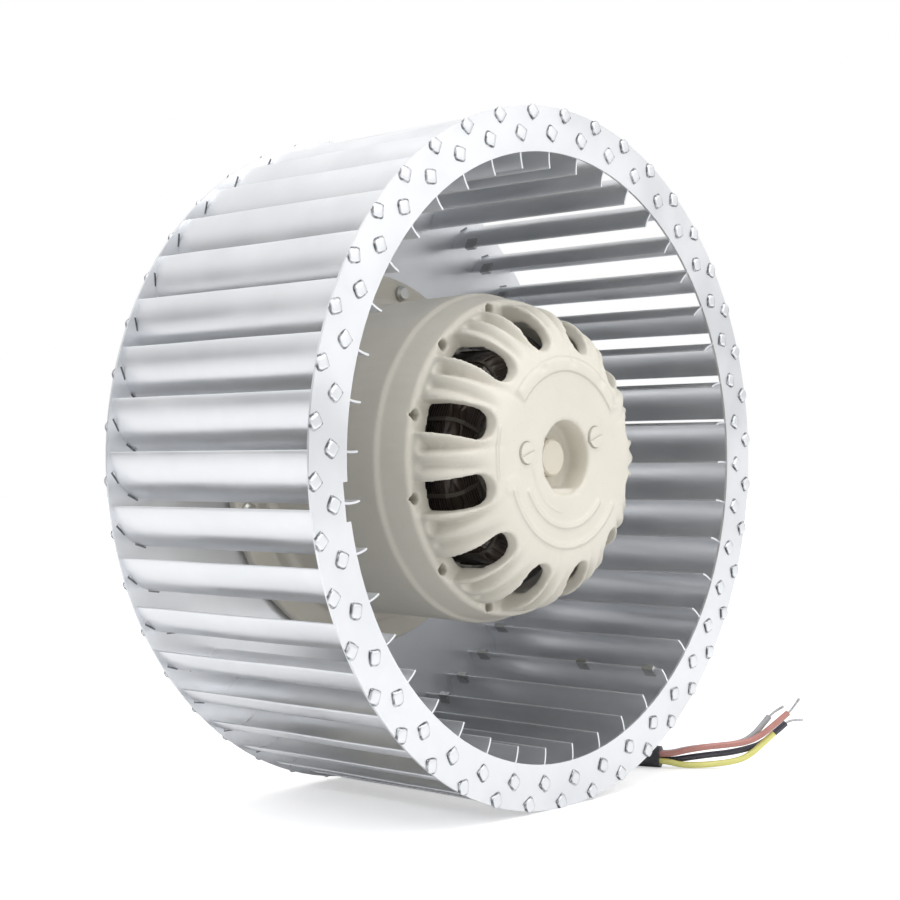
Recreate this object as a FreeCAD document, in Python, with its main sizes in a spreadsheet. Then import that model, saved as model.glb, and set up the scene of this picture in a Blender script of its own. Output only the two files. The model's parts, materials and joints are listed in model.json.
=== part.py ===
"""Centrifugal fan: a forward curved wheel on the rotor of an external rotor motor.

Every piece is drawn on a bench with the fan's axis upright: height 0 is the rear
mounting face and heights grow towards the inlet. At the end each piece is laid on
its side, so the axis runs along Y and the inlet faces -Y.
"""
import FreeCAD, Part
import math
import os
import re
import Sketcher

# Driving sizes in millimetres and degrees
SIZES = {
    # wheel
    "wheel_rear": 20.0,
    "wheel_width": 113.0,
    "wheel_radius": 140.0,
    "sheet_metal": 1.0,
    "ring_width": 18.0,
    "eye_nick_depth": 2.0,
    "eye_nick_length": 14.0,
    "eye_nick_angle": 187.5,
    # blades: each is an arc about its own upright curve axis
    "blade_count": 42,
    "blades_per_sector": 6,
    "first_blade_angle": 7.9,
    "blade_metal": 0.8,
    "blade_curve": 18.0,
    "blade_tip_inset": 1.8,
    "blade_turn": 108.0,
    "outer_tab_turn": 31.0,
    "outer_tab_lean": 40.0,
    "inner_tab_turn": 67.0,
    "inner_tab_lean": 66.0,
    "tab_half_width": 2.5,
    "tab_reach": 4.9,
    "tab_round": 2.0,
    "slot_clearance": 0.15,
    # rotor casting
    "face_above_ring": 2.0,
    "face_plate": 7.0,
    "can_radius": 68.6,
    "can_draft": 1.3,
    "can_wall": 6.7,
    "core_shoulder": 6.9,
    "rim_step": 3.6,
    "ledge_width": 2.2,
    "shoulder_radius": 27.0,
    "dome_wall": 5.0,
    "band_height": 13.4,
    "band_flare": 2.4,
    "cavity_height": 29.0,
    "collar_step": 2.4,
    "collar_height": 7.0,
    "rotor_flange_radius": 82.5,
    "rotor_flange_thickness": 5.5,
    "flange_undercut": 1.8,
    "spigot_radius": 66.0,
    "spigot_height": 2.0,
    "spigot_clearance": 0.1,
    "hub_radius": 22.0,
    "hub_height": 21.0,
    "recess_radius": 15.0,
    "recess_depth": 11.5,
    "recess_flat": 12.4,
    "recess_flat_drop": 3.0,
    "relief_height": 0.8,
    "relief_outer_radius": 40.0,
    "relief_inner_radius": 35.0,
    "relief_bottom_radius": 27.0,
    "relief_line": 1.6,
    "vent_count": 12,
    "first_vent_angle": 15.0,
    "vent_width": 13.0,
    "vent_inner_end": 43.7,
    "flute_radius": 3.2,
    "flute_spread": 4.2,
    "flute_run_out": 2.9,
    "flute_sweep": 88.0,
    "balance_hole_radius": 2.3,
    "balance_hole_inset": 3.0,
    "balance_hole_depth": 9.0,
    "pad_radius": 4.6,
    "pad_circle": 35.4,
    "pad_angle": 199.0,
    "plug_radius": 4.2,
    "plug_height": 0.9,
    "plug_shank": 3.0,
    "plug_slot": 1.0,
    "plug_circle_left": 25.6,
    "plug_angle_left": 176.4,
    "plug_circle_right": 20.4,
    "plug_angle_right": 24.5,
    # screws and nuts that hold the wheel on the rotor
    "flange_screw_count": 6,
    "flange_screw_circle": 76.8,
    "flange_screw_angle": 16.6,
    "flange_screw_radius": 2.0,
    "flange_screw_head": 3.5,
    "flange_screw_head_height": 2.6,
    "screw_clearance": 0.1,
    "flange_nut_radius": 3.6,
    "flange_nut_height": 2.6,
    # shaft and bearings
    "shaft_radius": 7.5,
    "shaft_chamfer": 0.7,
    "shaft_rear": 14.0,
    "shaft_front_recess": 7.0,
    "bearing_outer_radius": 17.5,
    "bearing_width": 11.0,
    "bearing_ball_circle": 12.5,
    "bearing_ball_radius": 2.95,
    "bearing_ball_count": 8,
    "bearing_ball_gap": 0.05,
    "inner_race_radius": 10.7,
    "outer_race_radius": 14.3,
    "shield_thickness": 0.4,
    "rear_bearing_level": 22.0,
    "bearing_gap_to_hub": 2.0,
    "spacer_radius": 9.6,
    "circlip_thickness": 1.2,
    "circlip_radius": 9.4,
    "circlip_groove": 0.6,
    "spring_height": 1.5,
    "spring_metal": 0.6,
    # rotor and stator cores
    "core_level": 44.0,
    "core_height": 40.0,
    "rotor_core_width": 14.9,
    "air_gap": 0.5,
    "cage_ring_height": 7.0,
    "cage_ring_inset": 1.0,
    "core_clearance": 0.1,
    "slot_count": 24,
    "slot_root_radius": 29.0,
    "slot_lip": 3.0,
    "slot_width": 3.6,
    "slot_mouth": 1.8,
    "insulation_thickness": 1.5,
    "insulation_inset": 0.8,
    "coil_inset": 0.3,
    "winding_inner_radius": 26.5,
    "winding_overhang": 1.0,
    "winding_round": 5.0,
    "front_winding_height": 27.0,
    "rear_winding_height": 20.0,
    "lacing_count": 18,
    "lacing_width": 1.6,
    "lacing_thickness": 0.5,
    "protector_length": 18.0,
    "protector_width": 7.0,
    "protector_height": 3.5,
    # stator bush
    "bush_radius": 64.0,
    "bush_skirt": 8.0,
    "bush_plate_level": 9.0,
    "bush_plate": 8.0,
    "bush_boss_radius": 23.0,
    "bush_boss_level": 2.0,
    "tube_radius": 21.0,
    "tube_foot_radius": 27.0,
    "tube_foot_height": 5.0,
    "tube_shoulder_radius": 15.5,
    "cap_thickness": 2.5,
    "cap_level": 5.0,
    "mount_count": 4,
    "mount_circle": 49.0,
    "mount_turn": 45.0,
    "mount_boss_radius": 8.0,
    "mount_hole_radius": 2.5,
    "mount_hole_depth": 13.0,
    # cable outlet
    "cable_angle": -90.0,
    "cable_level": 7.6,
    "cable_radius": 4.85,
    "cable_start": 56.0,
    "gland_neck_radius": 6.6,
    "gland_flange_radius": 7.5,
    "gland_flange": 2.5,
    "gland_taper_radius": 5.8,
    "gland_taper": 12.0,
    "gland_inner_end": 53.0,
    "gland_clearance": 0.1,
    "clip_near": 41.0,
    "clip_far": 48.0,
    "clip_half_width": 13.0,
    "clip_cover": 1.2,
    "clip_screw_spread": 9.5,
    "clip_screw_radius": 1.5,
    "clip_screw_head": 2.8,
    "clip_screw_head_height": 1.2,
    "earth_screw_radius": 2.0,
    "earth_screw_circle": 40.0,
    "earth_screw_turn": 180.0,
    "earth_screw_head": 4.0,
    "earth_screw_length": 9.0,
    # balance clips on the blades' inner edges
    "clip_metal": 0.7,
    "clip_grip_turn": 12.0,
    "clip_height": 5.5,
    # stripped end of the cable
    "conductor_radius": 1.4,
    "conductor_offset": 1.6,
    "strand_radius": 0.7,
    "strand_knee": 2.5,
}

# Levels and radii that follow from the driving sizes
LEVELS = {
    "eye_radius": "wheel_radius - ring_width",
    "blade_curve_circle": "wheel_radius - blade_tip_inset - blade_curve",
    "plate_front": "wheel_rear + sheet_metal",
    "ring_front": "wheel_rear + wheel_width",
    "ring_rear": "ring_front - sheet_metal",
    "face_level": "ring_front + face_above_ring",
    "rim_level": "face_level - shoulder_radius",
    "rim_radius": "can_radius - rim_step",
    "dome_radius": "rim_radius - ledge_width",
    "dome_centre": "dome_radius - shoulder_radius",
    "dome_hollow": "shoulder_radius - dome_wall",
    "lip_level": "rim_level - band_height",
    "ceiling_level": "face_level - face_plate",
    "dome_top": "ceiling_level - rim_level",
    "cavity_rear": "face_level - face_plate - cavity_height",
    "rotor_core_outer": "can_radius - can_wall",
    "rotor_core_inner": "rotor_core_outer - rotor_core_width",
    "cage_ring_inner": "rotor_core_inner + cage_ring_inset",
    "cavity_radius": "rotor_core_outer - core_shoulder",
    "cavity_reach": "cavity_radius - dome_centre",
    "collar_radius": "can_radius + collar_step",
    "rotor_rear": "plate_front - spigot_height",
    "flange_front": "plate_front + rotor_flange_thickness",
    "collar_front": "flange_front + collar_height",
    "hub_rear": "ceiling_level - hub_height",
    "recess_floor": "face_level - recess_depth",
    "shaft_front": "face_level - shaft_front_recess",
    "front_bearing_level": "hub_rear - bearing_gap_to_hub - bearing_width",
    "tube_front": "front_bearing_level + bearing_width + 0.5",
    "core_front": "core_level + core_height",
    "stator_radius": "rotor_core_inner - air_gap",
    "slot_top_radius": "stator_radius - slot_lip",
    "winding_outer_radius": "slot_top_radius + winding_overhang",
    "bush_front": "bush_plate_level + bush_plate",
    "insulation_front_top": "core_front + insulation_thickness",
    "insulation_rear_foot": "core_level - insulation_thickness",
    "tube_clear_radius": "tube_radius + core_clearance",
}

# Balance clips: blade number from the first one, and height above the mounting face
BALANCE_CLIPS = ((34, 122.0), (34, 86.0), (35, 27.0), (34, 27.0), (33, 27.0), (32, 30.0),
                 (5, 30.0), (4, 27.0), (3, 26.0))

# The cable's route from inside the gland to its cut end, as laid on the floor (x, y, z)
CABLE_ROUTE = (
    (0.0, -7.6, -56.0),
    (0.0, -7.6, -96.0),
    (9.0, 17.0, -126.0),
    (32.0, 46.0, -135.15),
    (67.0, 57.0, -135.15),
    (101.0, 44.0, -135.15),
    (121.0, 14.0, -135.15),
    (119.0, -23.0, -135.15),
    (94.0, -55.0, -135.15),
    (91.0, -87.0, -135.15),
    (100.0, -111.4, -135.15),
)

# Conductors: side and height of the start in the cable's section, the route on from there,
# and the tip of the bare strands where they show
CONDUCTORS = {
    "conductor_yellow": ((1, -1), ((99.9, -115.7, -136.8), (102.7, -120.5, -138.2), (107.7, -127.9, -138.0),
                                   (114.1, -135.9, -137.0), (119.0, -141.8, -135.4), (122.6, -145.3, -132.6),
                                   (126.3, -148.8, -128.1), (129.9, -152.3, -123.7)), None),
    "conductor_black": ((-1, -1), ((102.9, -114.6, -136.8), (106.9, -121.4, -135.3), (112.2, -128.7, -133.9),
                                   (118.4, -136.4, -132.8), (124.3, -143.2, -130.7), (128.7, -146.7, -128.8),
                                   (132.8, -150.5, -124.4), (136.7, -154.4, -119.7)), (141.9, -160.5, -118.1)),
    "conductor_brown": ((1, 1), ((99.9, -115.7, -133.6), (103.8, -122.4, -131.4), (109.4, -130.5, -129.6),
                                 (115.6, -138.2, -128.6), (120.4, -144.0, -127.5), (124.4, -148.9, -124.5),
                                 (128.3, -153.5, -119.5), (132.3, -158.3, -114.1)), (135.7, -162.2, -107.4)),
    "conductor_grey": ((-1, 1), ((102.9, -114.6, -133.6), (106.4, -120.7, -131.5), (112.3, -128.6, -130.2),
                                 (118.7, -136.2, -129.3), (122.9, -141.0, -127.8), (126.2, -144.7, -124.3),
                                 (128.4, -147.0, -120.4), (130.7, -149.5, -116.4)), (135.0, -154.4, -111.9)),
}

ON_ITS_SIDE = FreeCAD.Rotation(FreeCAD.Vector(1, 0, 0), 90)
BEND_SHARE = 0.45

doc = FreeCAD.newDocument("centrifugal_fan")
sheet = doc.addObject("Spreadsheet::Sheet", "Sizes")
desk = doc.addObject("Spreadsheet::Sheet", "Desk")
subparts = []


def bound(text):
    """Expression text with every size name led by the sheet's name."""
    return re.sub(r"[a-z][a-z_]+", lambda m: "Sizes." + m.group(0) if m.group(0) in KNOWN else m.group(0), text)


def fill_sheet():
    """Driving sizes as plain numbers, then the levels that follow from them."""
    row = 1
    for name, value in SIZES.items():
        sheet.set(f"A{row}", name)
        sheet.set(f"B{row}", str(value))
        sheet.setAlias(f"B{row}", name)
        row += 1
    for name, formula in LEVELS.items():
        sheet.set(f"A{row}", name)
        sheet.set(f"B{row}", "=" + formula)
        sheet.setAlias(f"B{row}", name)
        row += 1
    doc.recompute()


def value(text):
    """Number that an expression of the sheet's names has now."""
    desk.set("A1", "=" + bound(text))
    desk.recompute()
    return float(desk.get("A1"))


def bind(thing, prop, text):
    """Tie a property to the sheet."""
    thing.setExpression(prop, bound(text))


def new_body(label):
    """Empty body that may hold several separate solids."""
    body = doc.addObject("PartDesign::Body", label)
    body.Label = label
    body.AllowCompound = True
    return body


def lay_down(thing, turn="0"):
    """Turn a bench piece about the fan's axis and lay it on its side."""
    spin = FreeCAD.Rotation(FreeCAD.Vector(0, 0, 1), value(turn))
    thing.Placement = FreeCAD.Placement(FreeCAD.Vector(), ON_ITS_SIDE.multiply(spin))
    subparts.append(thing)


def origin_plane(body, role):
    """One of the body's own origin planes or axes."""
    return next(part for part in body.Origin.OriginFeatures if part.Role == role)


def upright_sketch(body, name, away="0", start="0", lift="0"):
    """Sketch standing on the body's XZ plane, its own axis moved away, turned and lifted."""
    sketch = body.newObject("Sketcher::SketchObject", name)
    sketch.AttachmentSupport = [(origin_plane(body, "XZ_Plane"), "")]
    sketch.MapMode = "FlatFace"
    turn = FreeCAD.Rotation(FreeCAD.Vector(0, 1, 0), 1)
    sketch.AttachmentOffset = FreeCAD.Placement(FreeCAD.Vector(), turn)
    bind(sketch, "AttachmentOffset.Rotation.Angle", start)
    bind(sketch, "AttachmentOffset.Base.x", away)
    bind(sketch, "AttachmentOffset.Base.y", lift)
    return sketch


def flat_sketch(body, name, level):
    """Sketch lying across the fan's axis at a level."""
    sketch = body.newObject("Sketcher::SketchObject", name)
    sketch.AttachmentSupport = [(origin_plane(body, "XY_Plane"), "")]
    sketch.MapMode = "FlatFace"
    bind(sketch, "AttachmentOffset.Base.z", level)
    return sketch


def draw_outline(sketch, outline, hollow=None):
    """Closed outline through (across, up) expressions, each corner tied to the sheet.

    All edges are straight, but the one that hollow names is a hollow arc about hollow's centre.
    """
    spots = [FreeCAD.Vector(value(across), value(up), 0) for across, up in outline]
    first = sketch.GeometryCount
    count = len(spots)
    arc_edge = hollow[0] if hollow else None
    for i in range(count):
        if i == arc_edge:
            add_hollow_arc(sketch, spots[i], spots[(i + 1) % count], hollow)
        else:
            sketch.addGeometry(Part.LineSegment(spots[i], spots[(i + 1) % count]), False)
    for i in range(count):
        after = (i + 1) % count
        end = 1 if i == arc_edge else 2
        start = 2 if after == arc_edge else 1
        sketch.addConstraint(Sketcher.Constraint("Coincident", first + i, end, first + after, start))
    for i in range(count):
        tie_corner(sketch, first + i, 2 if i == arc_edge else 1, spots[i], outline[i])
    if hollow:
        centre = FreeCAD.Vector(value(hollow[1]), 0, 0)
        tie_corner(sketch, first + arc_edge, 3, centre, (hollow[1], ""))


def add_hollow_arc(sketch, start, end, hollow):
    """Arc from start to end that bends into the piece."""
    centre = FreeCAD.Vector(value(hollow[1]), value(hollow[2]), 0)
    circle = Part.Circle(centre, FreeCAD.Vector(0, 0, 1), (start - centre).Length)
    begin = math.atan2(end.y - centre.y, end.x - centre.x)
    finish = math.atan2(start.y - centre.y, start.x - centre.x)
    if finish < begin:
        finish += 2 * math.pi
    sketch.addGeometry(Part.ArcOfCircle(circle, begin, finish), False)


def tie_corner(sketch, line, end, spot, corner):
    """Tie one end of a line to its two expressions."""
    for kind, axis, number, text in (("DistanceX", -2, spot.x, corner[0]), ("DistanceY", -1, spot.y, corner[1])):
        if text == "0":
            sketch.addConstraint(Sketcher.Constraint("PointOnObject", line, end, axis))
        elif text:
            index = sketch.addConstraint(Sketcher.Constraint(kind, -1, 1, line, end, number))
            bind(sketch, f"Constraints[{index}]", text)


def revolve(body, name, outline, kind="Revolution", turn="360", axis="V_Axis", hollow=None, **spot):
    """Revolve an outline about its sketch's own axis: kind is Revolution to add, Groove to cut."""
    sketch = upright_sketch(body, name + "_outline", **spot)
    draw_outline(sketch, outline, hollow)
    feature = body.newObject("PartDesign::" + kind, name)
    feature.Profile = sketch
    feature.ReferenceAxis = (sketch, [axis])
    bind(feature, "Angle", turn)
    return feature


def polar(body, name, originals, count, spread="360"):
    """Repeat features round the fan's axis; the body then ends with the pattern."""
    pattern = body.newObject("PartDesign::PolarPattern", name)
    pattern.Originals = originals
    pattern.Axis = (origin_plane(body, "Z_Axis"), [""])
    bind(pattern, "Angle", spread)
    bind(pattern, "Occurrences", count)
    body.Tip = pattern
    return pattern


def turned(label, outline, turn="0", lay=True, **spot):
    """A turned piece as a body of its own."""
    body = new_body(label)
    feature = revolve(body, label + "_turning", outline, **spot)
    if lay:
        lay_down(body, turn)
    return body, feature


def rectangle(inner, outer, low, high):
    """Outline of a rectangle between two radii and two levels."""
    return [(inner, low), (outer, low), (outer, high), (inner, high)]


def cylinder(body, name, kind, radius, low, high, along="0", aside="0"):
    """Upright cylinder feature: kind is Additive or Subtractive."""
    feature = body.newObject(f"PartDesign::{kind}Cylinder", name)
    bind(feature, "Radius", radius)
    bind(feature, "Height", f"({high}) - ({low})")
    bind(feature, "Placement.Base.x", along)
    bind(feature, "Placement.Base.y", aside)
    bind(feature, "Placement.Base.z", low)
    return feature


def box(body, name, kind, x_span, y_span, z_span, turn="0", spot=("0", "0")):
    """Box feature between pairs of expressions: kind is Additive or Subtractive.

    The two flat spans run in directions turned about the axis, and are measured from a spot.
    """
    feature = body.newObject(f"PartDesign::{kind}Box", name)
    for prop, span in (("Length", x_span), ("Width", y_span), ("Height", z_span)):
        bind(feature, prop, f"({span[1]}) - ({span[0]})")
    feature.Placement = FreeCAD.Placement(FreeCAD.Vector(), FreeCAD.Rotation(FreeCAD.Vector(0, 0, 1), 1))
    bind(feature, "Placement.Rotation.Angle", turn)
    across, up = turned_spot(x_span[0], y_span[0], turn, spot)
    bind(feature, "Placement.Base.x", across)
    bind(feature, "Placement.Base.y", up)
    bind(feature, "Placement.Base.z", z_span[0])
    return feature


def turned_spot(along, aside, turn, spot=("0", "0")):
    """Expressions for a point given in directions turned about the axis, from a spot."""
    across = f"{spot[0]} + ({along}) * cos({turn}) - ({aside}) * sin({turn})"
    up = f"{spot[1]} + ({along}) * sin({turn}) + ({aside}) * cos({turn})"
    return across, up


def prism(body, name, outline, low, high, kind="Pad"):
    """Upright prism over a flat outline between two levels: kind is Pad to add, Pocket to cut."""
    sketch = flat_sketch(body, name + "_outline", low if kind == "Pad" else high)
    draw_outline(sketch, outline)
    feature = body.newObject("PartDesign::" + kind, name)
    feature.Profile = sketch
    bind(feature, "Length", f"({high}) - ({low})")
    return feature


def turned_outline(shape, turn, spot=("0", "0")):
    """Outline of corners given in directions turned about the axis, from a spot."""
    return [turned_spot(along, aside, turn, spot) for along, aside in shape]


# Wheel

def tab_spot(row):
    """Where a row's tab crosses a disc: a point on the blade's arc, from the blade's own outer end direction."""
    return (f"blade_curve_circle + blade_curve * cos({row}_turn)", f"blade_curve * sin({row}_turn)")


def tab_slots(body, low, high):
    """Two rows of straight slots for the blades' tabs, cut right through a disc."""
    half = "(blade_metal / 2 + slot_clearance)"
    reach = "(tab_half_width + slot_clearance)"
    cuts = []
    for row in ("outer_tab", "inner_tab"):
        outline = turned_outline(rectangle("-" + half, half, "-" + reach, reach), f"{row}_lean", tab_spot(row))
        cuts.append(prism(body, f"{body.Label}_{row}_slot", outline, low + " - 1", high + " + 1", "Pocket"))
    polar(body, body.Label + "_slots", cuts, "blade_count")


def make_inlet_ring():
    """Flat front ring with the tab slots and the small nick in its eye."""
    body, _ = turned("inlet_ring", rectangle("eye_radius", "wheel_radius", "ring_rear", "ring_front"),
                     turn="first_blade_angle")
    tab_slots(body, "ring_rear", "ring_front")
    body.Tip = box(body, "eye_nick", "Subtractive", ("eye_radius - 4", "eye_radius + eye_nick_depth"),
                   ("-eye_nick_length / 2", "eye_nick_length / 2"), ("ring_rear - 1", "ring_front + 1"),
                   "eye_nick_angle - first_blade_angle")


def make_back_plate():
    """Flat rear disc, centred on the rotor's spigot and drilled for its screws."""
    body, _ = turned("back_plate", rectangle("spigot_radius + spigot_clearance", "wheel_radius",
                                             "wheel_rear", "plate_front"), turn="first_blade_angle")
    tab_slots(body, "wheel_rear", "plate_front")
    hole = screw_hole(body, "plate_screw_hole", "flange_screw_angle - first_blade_angle",
                      "wheel_rear - 1", "plate_front + 1")
    polar(body, "plate_screw_holes", [hole], "flange_screw_count")


def screw_hole(body, name, angle, low, high):
    """Hole for one of the screws that join wheel and rotor, at an angle from the body's own X."""
    return cylinder(body, name, "Subtractive", "flange_screw_radius + screw_clearance", low, high,
                    f"flange_screw_circle * cos({angle})", f"flange_screw_circle * sin({angle})")


def make_blades():
    """Curved blades, each with two tabs at either end that pass a disc and fold flat on it."""
    sectors = int(SIZES["blade_count"] / SIZES["blades_per_sector"])
    for sector in range(sectors):
        body = new_body(f"blades_{sector + 1}")
        strip = revolve(body, f"{body.Label}_strip",
                        rectangle("blade_curve - blade_metal / 2", "blade_curve + blade_metal / 2",
                                  "plate_front", "ring_rear"),
                        away="blade_curve_circle", turn="blade_turn")
        tabs = [feature for row in ("outer_tab", "inner_tab") for feature in make_tab(body, row)]
        polar(body, f"{body.Label}_round", [strip] + tabs, "blades_per_sector",
              "360 / blade_count * (blades_per_sector - 1)")
        lay_down(body, f"first_blade_angle + {sector} * 360 / blade_count * blades_per_sector")


def make_tab(body, row):
    """One pair of tabs: a stem through both discs, with a rounded flap folded flat on the outer side of each."""
    half = "blade_metal / 2"
    wide, reach, cut = "tab_half_width", "tab_reach", "tab_round"
    flap = [(f"-{half}", f"-{wide}"), (f"{reach} - {cut}", f"-{wide}"),
            (f"{reach} - 0.3 * {cut}", f"-{wide} + 0.3 * {cut}"), (reach, f"-{wide} + {cut}"),
            (reach, f"{wide} - {cut}"), (f"{reach} - 0.3 * {cut}", f"{wide} - 0.3 * {cut}"),
            (f"{reach} - {cut}", wide), (f"-{half}", wide)]
    pieces = (("stem", rectangle(f"-{half}", half, f"-{wide}", wide), "wheel_rear", "ring_front"),
              ("front", flap, "ring_front", "ring_front + blade_metal"),
              ("rear", flap, "wheel_rear - blade_metal", "wheel_rear"))
    return [prism(body, f"{body.Label}_{row}_{name}", turned_outline(shape, f"{row}_lean", tab_spot(row)), low, high)
            for name, shape, low, high in pieces]


def make_balance_clips():
    """Small spring clips pushed over the inner edges of a few blades."""
    body = new_body("clip_pattern")
    inner = "blade_curve - blade_metal / 2"
    outer = "blade_curve + blade_metal / 2"
    revolve(body, "clip_inner_jaw", rectangle(inner + " - clip_metal", inner, "0", "clip_height"),
            away="blade_curve_circle", start="blade_turn - clip_grip_turn", turn="clip_grip_turn + 1")
    revolve(body, "clip_outer_jaw", rectangle(outer, outer + " + clip_metal", "0", "clip_height"),
            away="blade_curve_circle", start="blade_turn - clip_grip_turn", turn="clip_grip_turn + 1")
    revolve(body, "clip_back", rectangle(inner + " - clip_metal", outer + " + clip_metal", "0", "clip_height"),
            away="blade_curve_circle", start="blade_turn + 0.5", turn="3")
    doc.recompute()
    copies = []
    for blade, height in BALANCE_CLIPS:
        copy = body.Shape.copy()
        copy.translate(FreeCAD.Vector(0, 0, height))
        angle = value(f"first_blade_angle + {blade} * 360 / blade_count")
        copy.rotate(FreeCAD.Vector(), FreeCAD.Vector(0, 0, 1), angle)
        copies.append(copy)
    clips = doc.addObject("Part::Feature", "balance_clips")
    clips.Shape = Part.makeCompound(copies)
    lay_down(clips)


# Rotor casting

def shell_outline(sketch):
    """Half section of the casting: hub, cavity, can, flange, band and the round shoulder."""
    corners = [
        ("dome_centre", "face_level"),
        ("recess_radius", "face_level"),
        ("recess_radius", "recess_floor"),
        ("shaft_radius", "recess_floor"),
        ("shaft_radius", "hub_rear"),
        ("hub_radius - 1.5", "hub_rear"),
        ("hub_radius", "ceiling_level"),
        ("dome_centre + sqrt(dome_hollow * dome_hollow - dome_top * dome_top)", "ceiling_level"),
        ("dome_centre + dome_hollow * cos(45)", "rim_level + dome_hollow * sin(45)"),
        ("cavity_radius", "rim_level + sqrt(dome_hollow * dome_hollow - cavity_reach * cavity_reach)"),
        ("cavity_radius", "cavity_rear"),
        ("rotor_core_outer + core_clearance", "cavity_rear - 4"),
        ("rotor_core_outer + core_clearance", "rotor_rear"),
        ("spigot_radius", "rotor_rear"),
        ("spigot_radius", "plate_front"),
        ("rotor_flange_radius - flange_undercut", "plate_front"),
        ("rotor_flange_radius", "plate_front + flange_undercut"),
        ("rotor_flange_radius", "flange_front - 0.8"),
        ("rotor_flange_radius - 0.8", "flange_front"),
        ("collar_radius", "flange_front"),
        ("collar_radius", "collar_front - 1"),
        ("collar_radius - 1", "collar_front"),
        ("can_radius - can_draft", "collar_front"),
        ("can_radius", "lip_level - 1"),
        ("can_radius - 0.6", "lip_level"),
        ("rim_radius + band_flare", "lip_level"),
        ("rim_radius", "rim_level - 1"),
        ("rim_radius - 0.8", "rim_level"),
        ("", "rim_level"),
    ]
    spots = [FreeCAD.Vector(value(across or "dome_radius"), value(up), 0) for across, up in corners]
    count = len(spots)
    for i in range(count - 1):
        sketch.addGeometry(Part.LineSegment(spots[i], spots[i + 1]), False)
    centre = FreeCAD.Vector(value("dome_centre"), value("rim_level"), 0)
    circle = Part.Circle(centre, FreeCAD.Vector(0, 0, 1), value("shoulder_radius"))
    sketch.addGeometry(Part.ArcOfCircle(circle, 0, math.pi / 2), False)
    arc = count - 1
    for i in range(count - 2):
        sketch.addConstraint(Sketcher.Constraint("Coincident", i, 2, i + 1, 1))
    sketch.addConstraint(Sketcher.Constraint("Coincident", count - 2, 2, arc, 1))
    sketch.addConstraint(Sketcher.Constraint("Coincident", arc, 2, 0, 1))
    for i in range(count - 1):
        tie_corner(sketch, i, 1, spots[i], corners[i])
    tie_corner(sketch, count - 2, 2, spots[-1], corners[-1])
    tie_corner(sketch, arc, 3, centre, ("dome_centre", "rim_level"))


def make_rotor_shell():
    """Cast rotor: twelve vents, a rib and two flutes between each pair, and the balance holes."""
    body = new_body("rotor_shell")
    sketch = upright_sketch(body, "shell_outline")
    shell_outline(sketch)
    casting = body.newObject("PartDesign::Revolution", "shell_casting")
    casting.Profile = sketch
    casting.ReferenceAxis = (sketch, ["V_Axis"])
    casting.Angle = 360
    add_face_relief(body)
    half = "vent_width / 2"
    vent_end = cylinder(body, "vent_end", "Subtractive", half, "rim_level", "face_level + 1",
                        along="vent_inner_end + vent_width / 2")
    vent = box(body, "vent", "Subtractive", ("vent_inner_end + vent_width / 2", "rim_radius + 3"),
               ("-" + half, half), ("rim_level", "face_level + 1"))
    hole = cylinder(body, "balance_hole", "Subtractive", "balance_hole_radius",
                    "rim_level - balance_hole_depth", "rim_level + 1", along="rim_radius - balance_hole_inset")
    polar(body, "vents", [vent_end, vent, hole], "vent_count")
    flutes = [make_flute(body, "flute_left", "flute_spread"), make_flute(body, "flute_right", "-flute_spread")]
    polar(body, "flutes", flutes, "vent_count")
    hole = screw_hole(body, "flange_hole", "flange_screw_angle - first_vent_angle",
                      "plate_front - 1", "flange_front + 1")
    polar(body, "flange_holes", [hole], "flange_screw_count")
    lay_down(body, "first_vent_angle")


def make_flute(body, name, aside):
    """Round groove bent along the shoulder, half a vent pitch from the vent; it runs out towards the face."""
    feature = body.newObject("PartDesign::SubtractiveTorus", name)
    bind(feature, "Radius1", "shoulder_radius")
    bind(feature, "Radius2", "flute_radius")
    bind(feature, "Angle3", "flute_sweep")
    half_pitch = value("180 / vent_count")
    around = FreeCAD.Rotation(FreeCAD.Vector(0, 0, 1), half_pitch)
    reach = FreeCAD.Vector(value("dome_centre"), value(aside), value("rim_level + flute_run_out"))
    feature.Placement = FreeCAD.Placement(around.multVec(reach), around.multiply(ON_ITS_SIDE))
    return feature


def add_face_relief(body):
    """Low raised shapes as cast: a wide arc over the face, two fine arcs below, a six sided pad, a flat in the recess."""
    bands = (("upper_band", "relief_inner_radius", "relief_outer_radius", "32", "108"),
             ("lower_line", "relief_inner_radius", "relief_inner_radius + relief_line", "200", "128"),
             ("inner_line", "relief_bottom_radius", "relief_bottom_radius + relief_line", "208", "112"))
    for name, inner, outer, start, turn in bands:
        sketch = upright_sketch(body, name + "_outline", start=f"{start} - first_vent_angle")
        draw_outline(sketch, rectangle(inner, outer, "face_level - 1.5", "face_level + relief_height"))
        band = body.newObject("PartDesign::Revolution", name)
        band.Profile = sketch
        band.ReferenceAxis = (sketch, ["V_Axis"])
        bind(band, "Angle", turn)
    spot = turned_spot("pad_circle", "0", "pad_angle - first_vent_angle")
    corners = [turned_spot("pad_radius", "0", f"{60 * i} + pad_angle - first_vent_angle", spot) for i in range(6)]
    prism(body, "six_sided_pad", corners, "face_level - 1.5", "face_level + relief_height / 2")
    flat = turned_outline(rectangle("recess_flat", "recess_radius + 1", "-9", "9"), "270 - first_vent_angle")
    prism(body, "recess_flat_block", flat, "recess_floor - 1", "face_level - recess_flat_drop")


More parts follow.
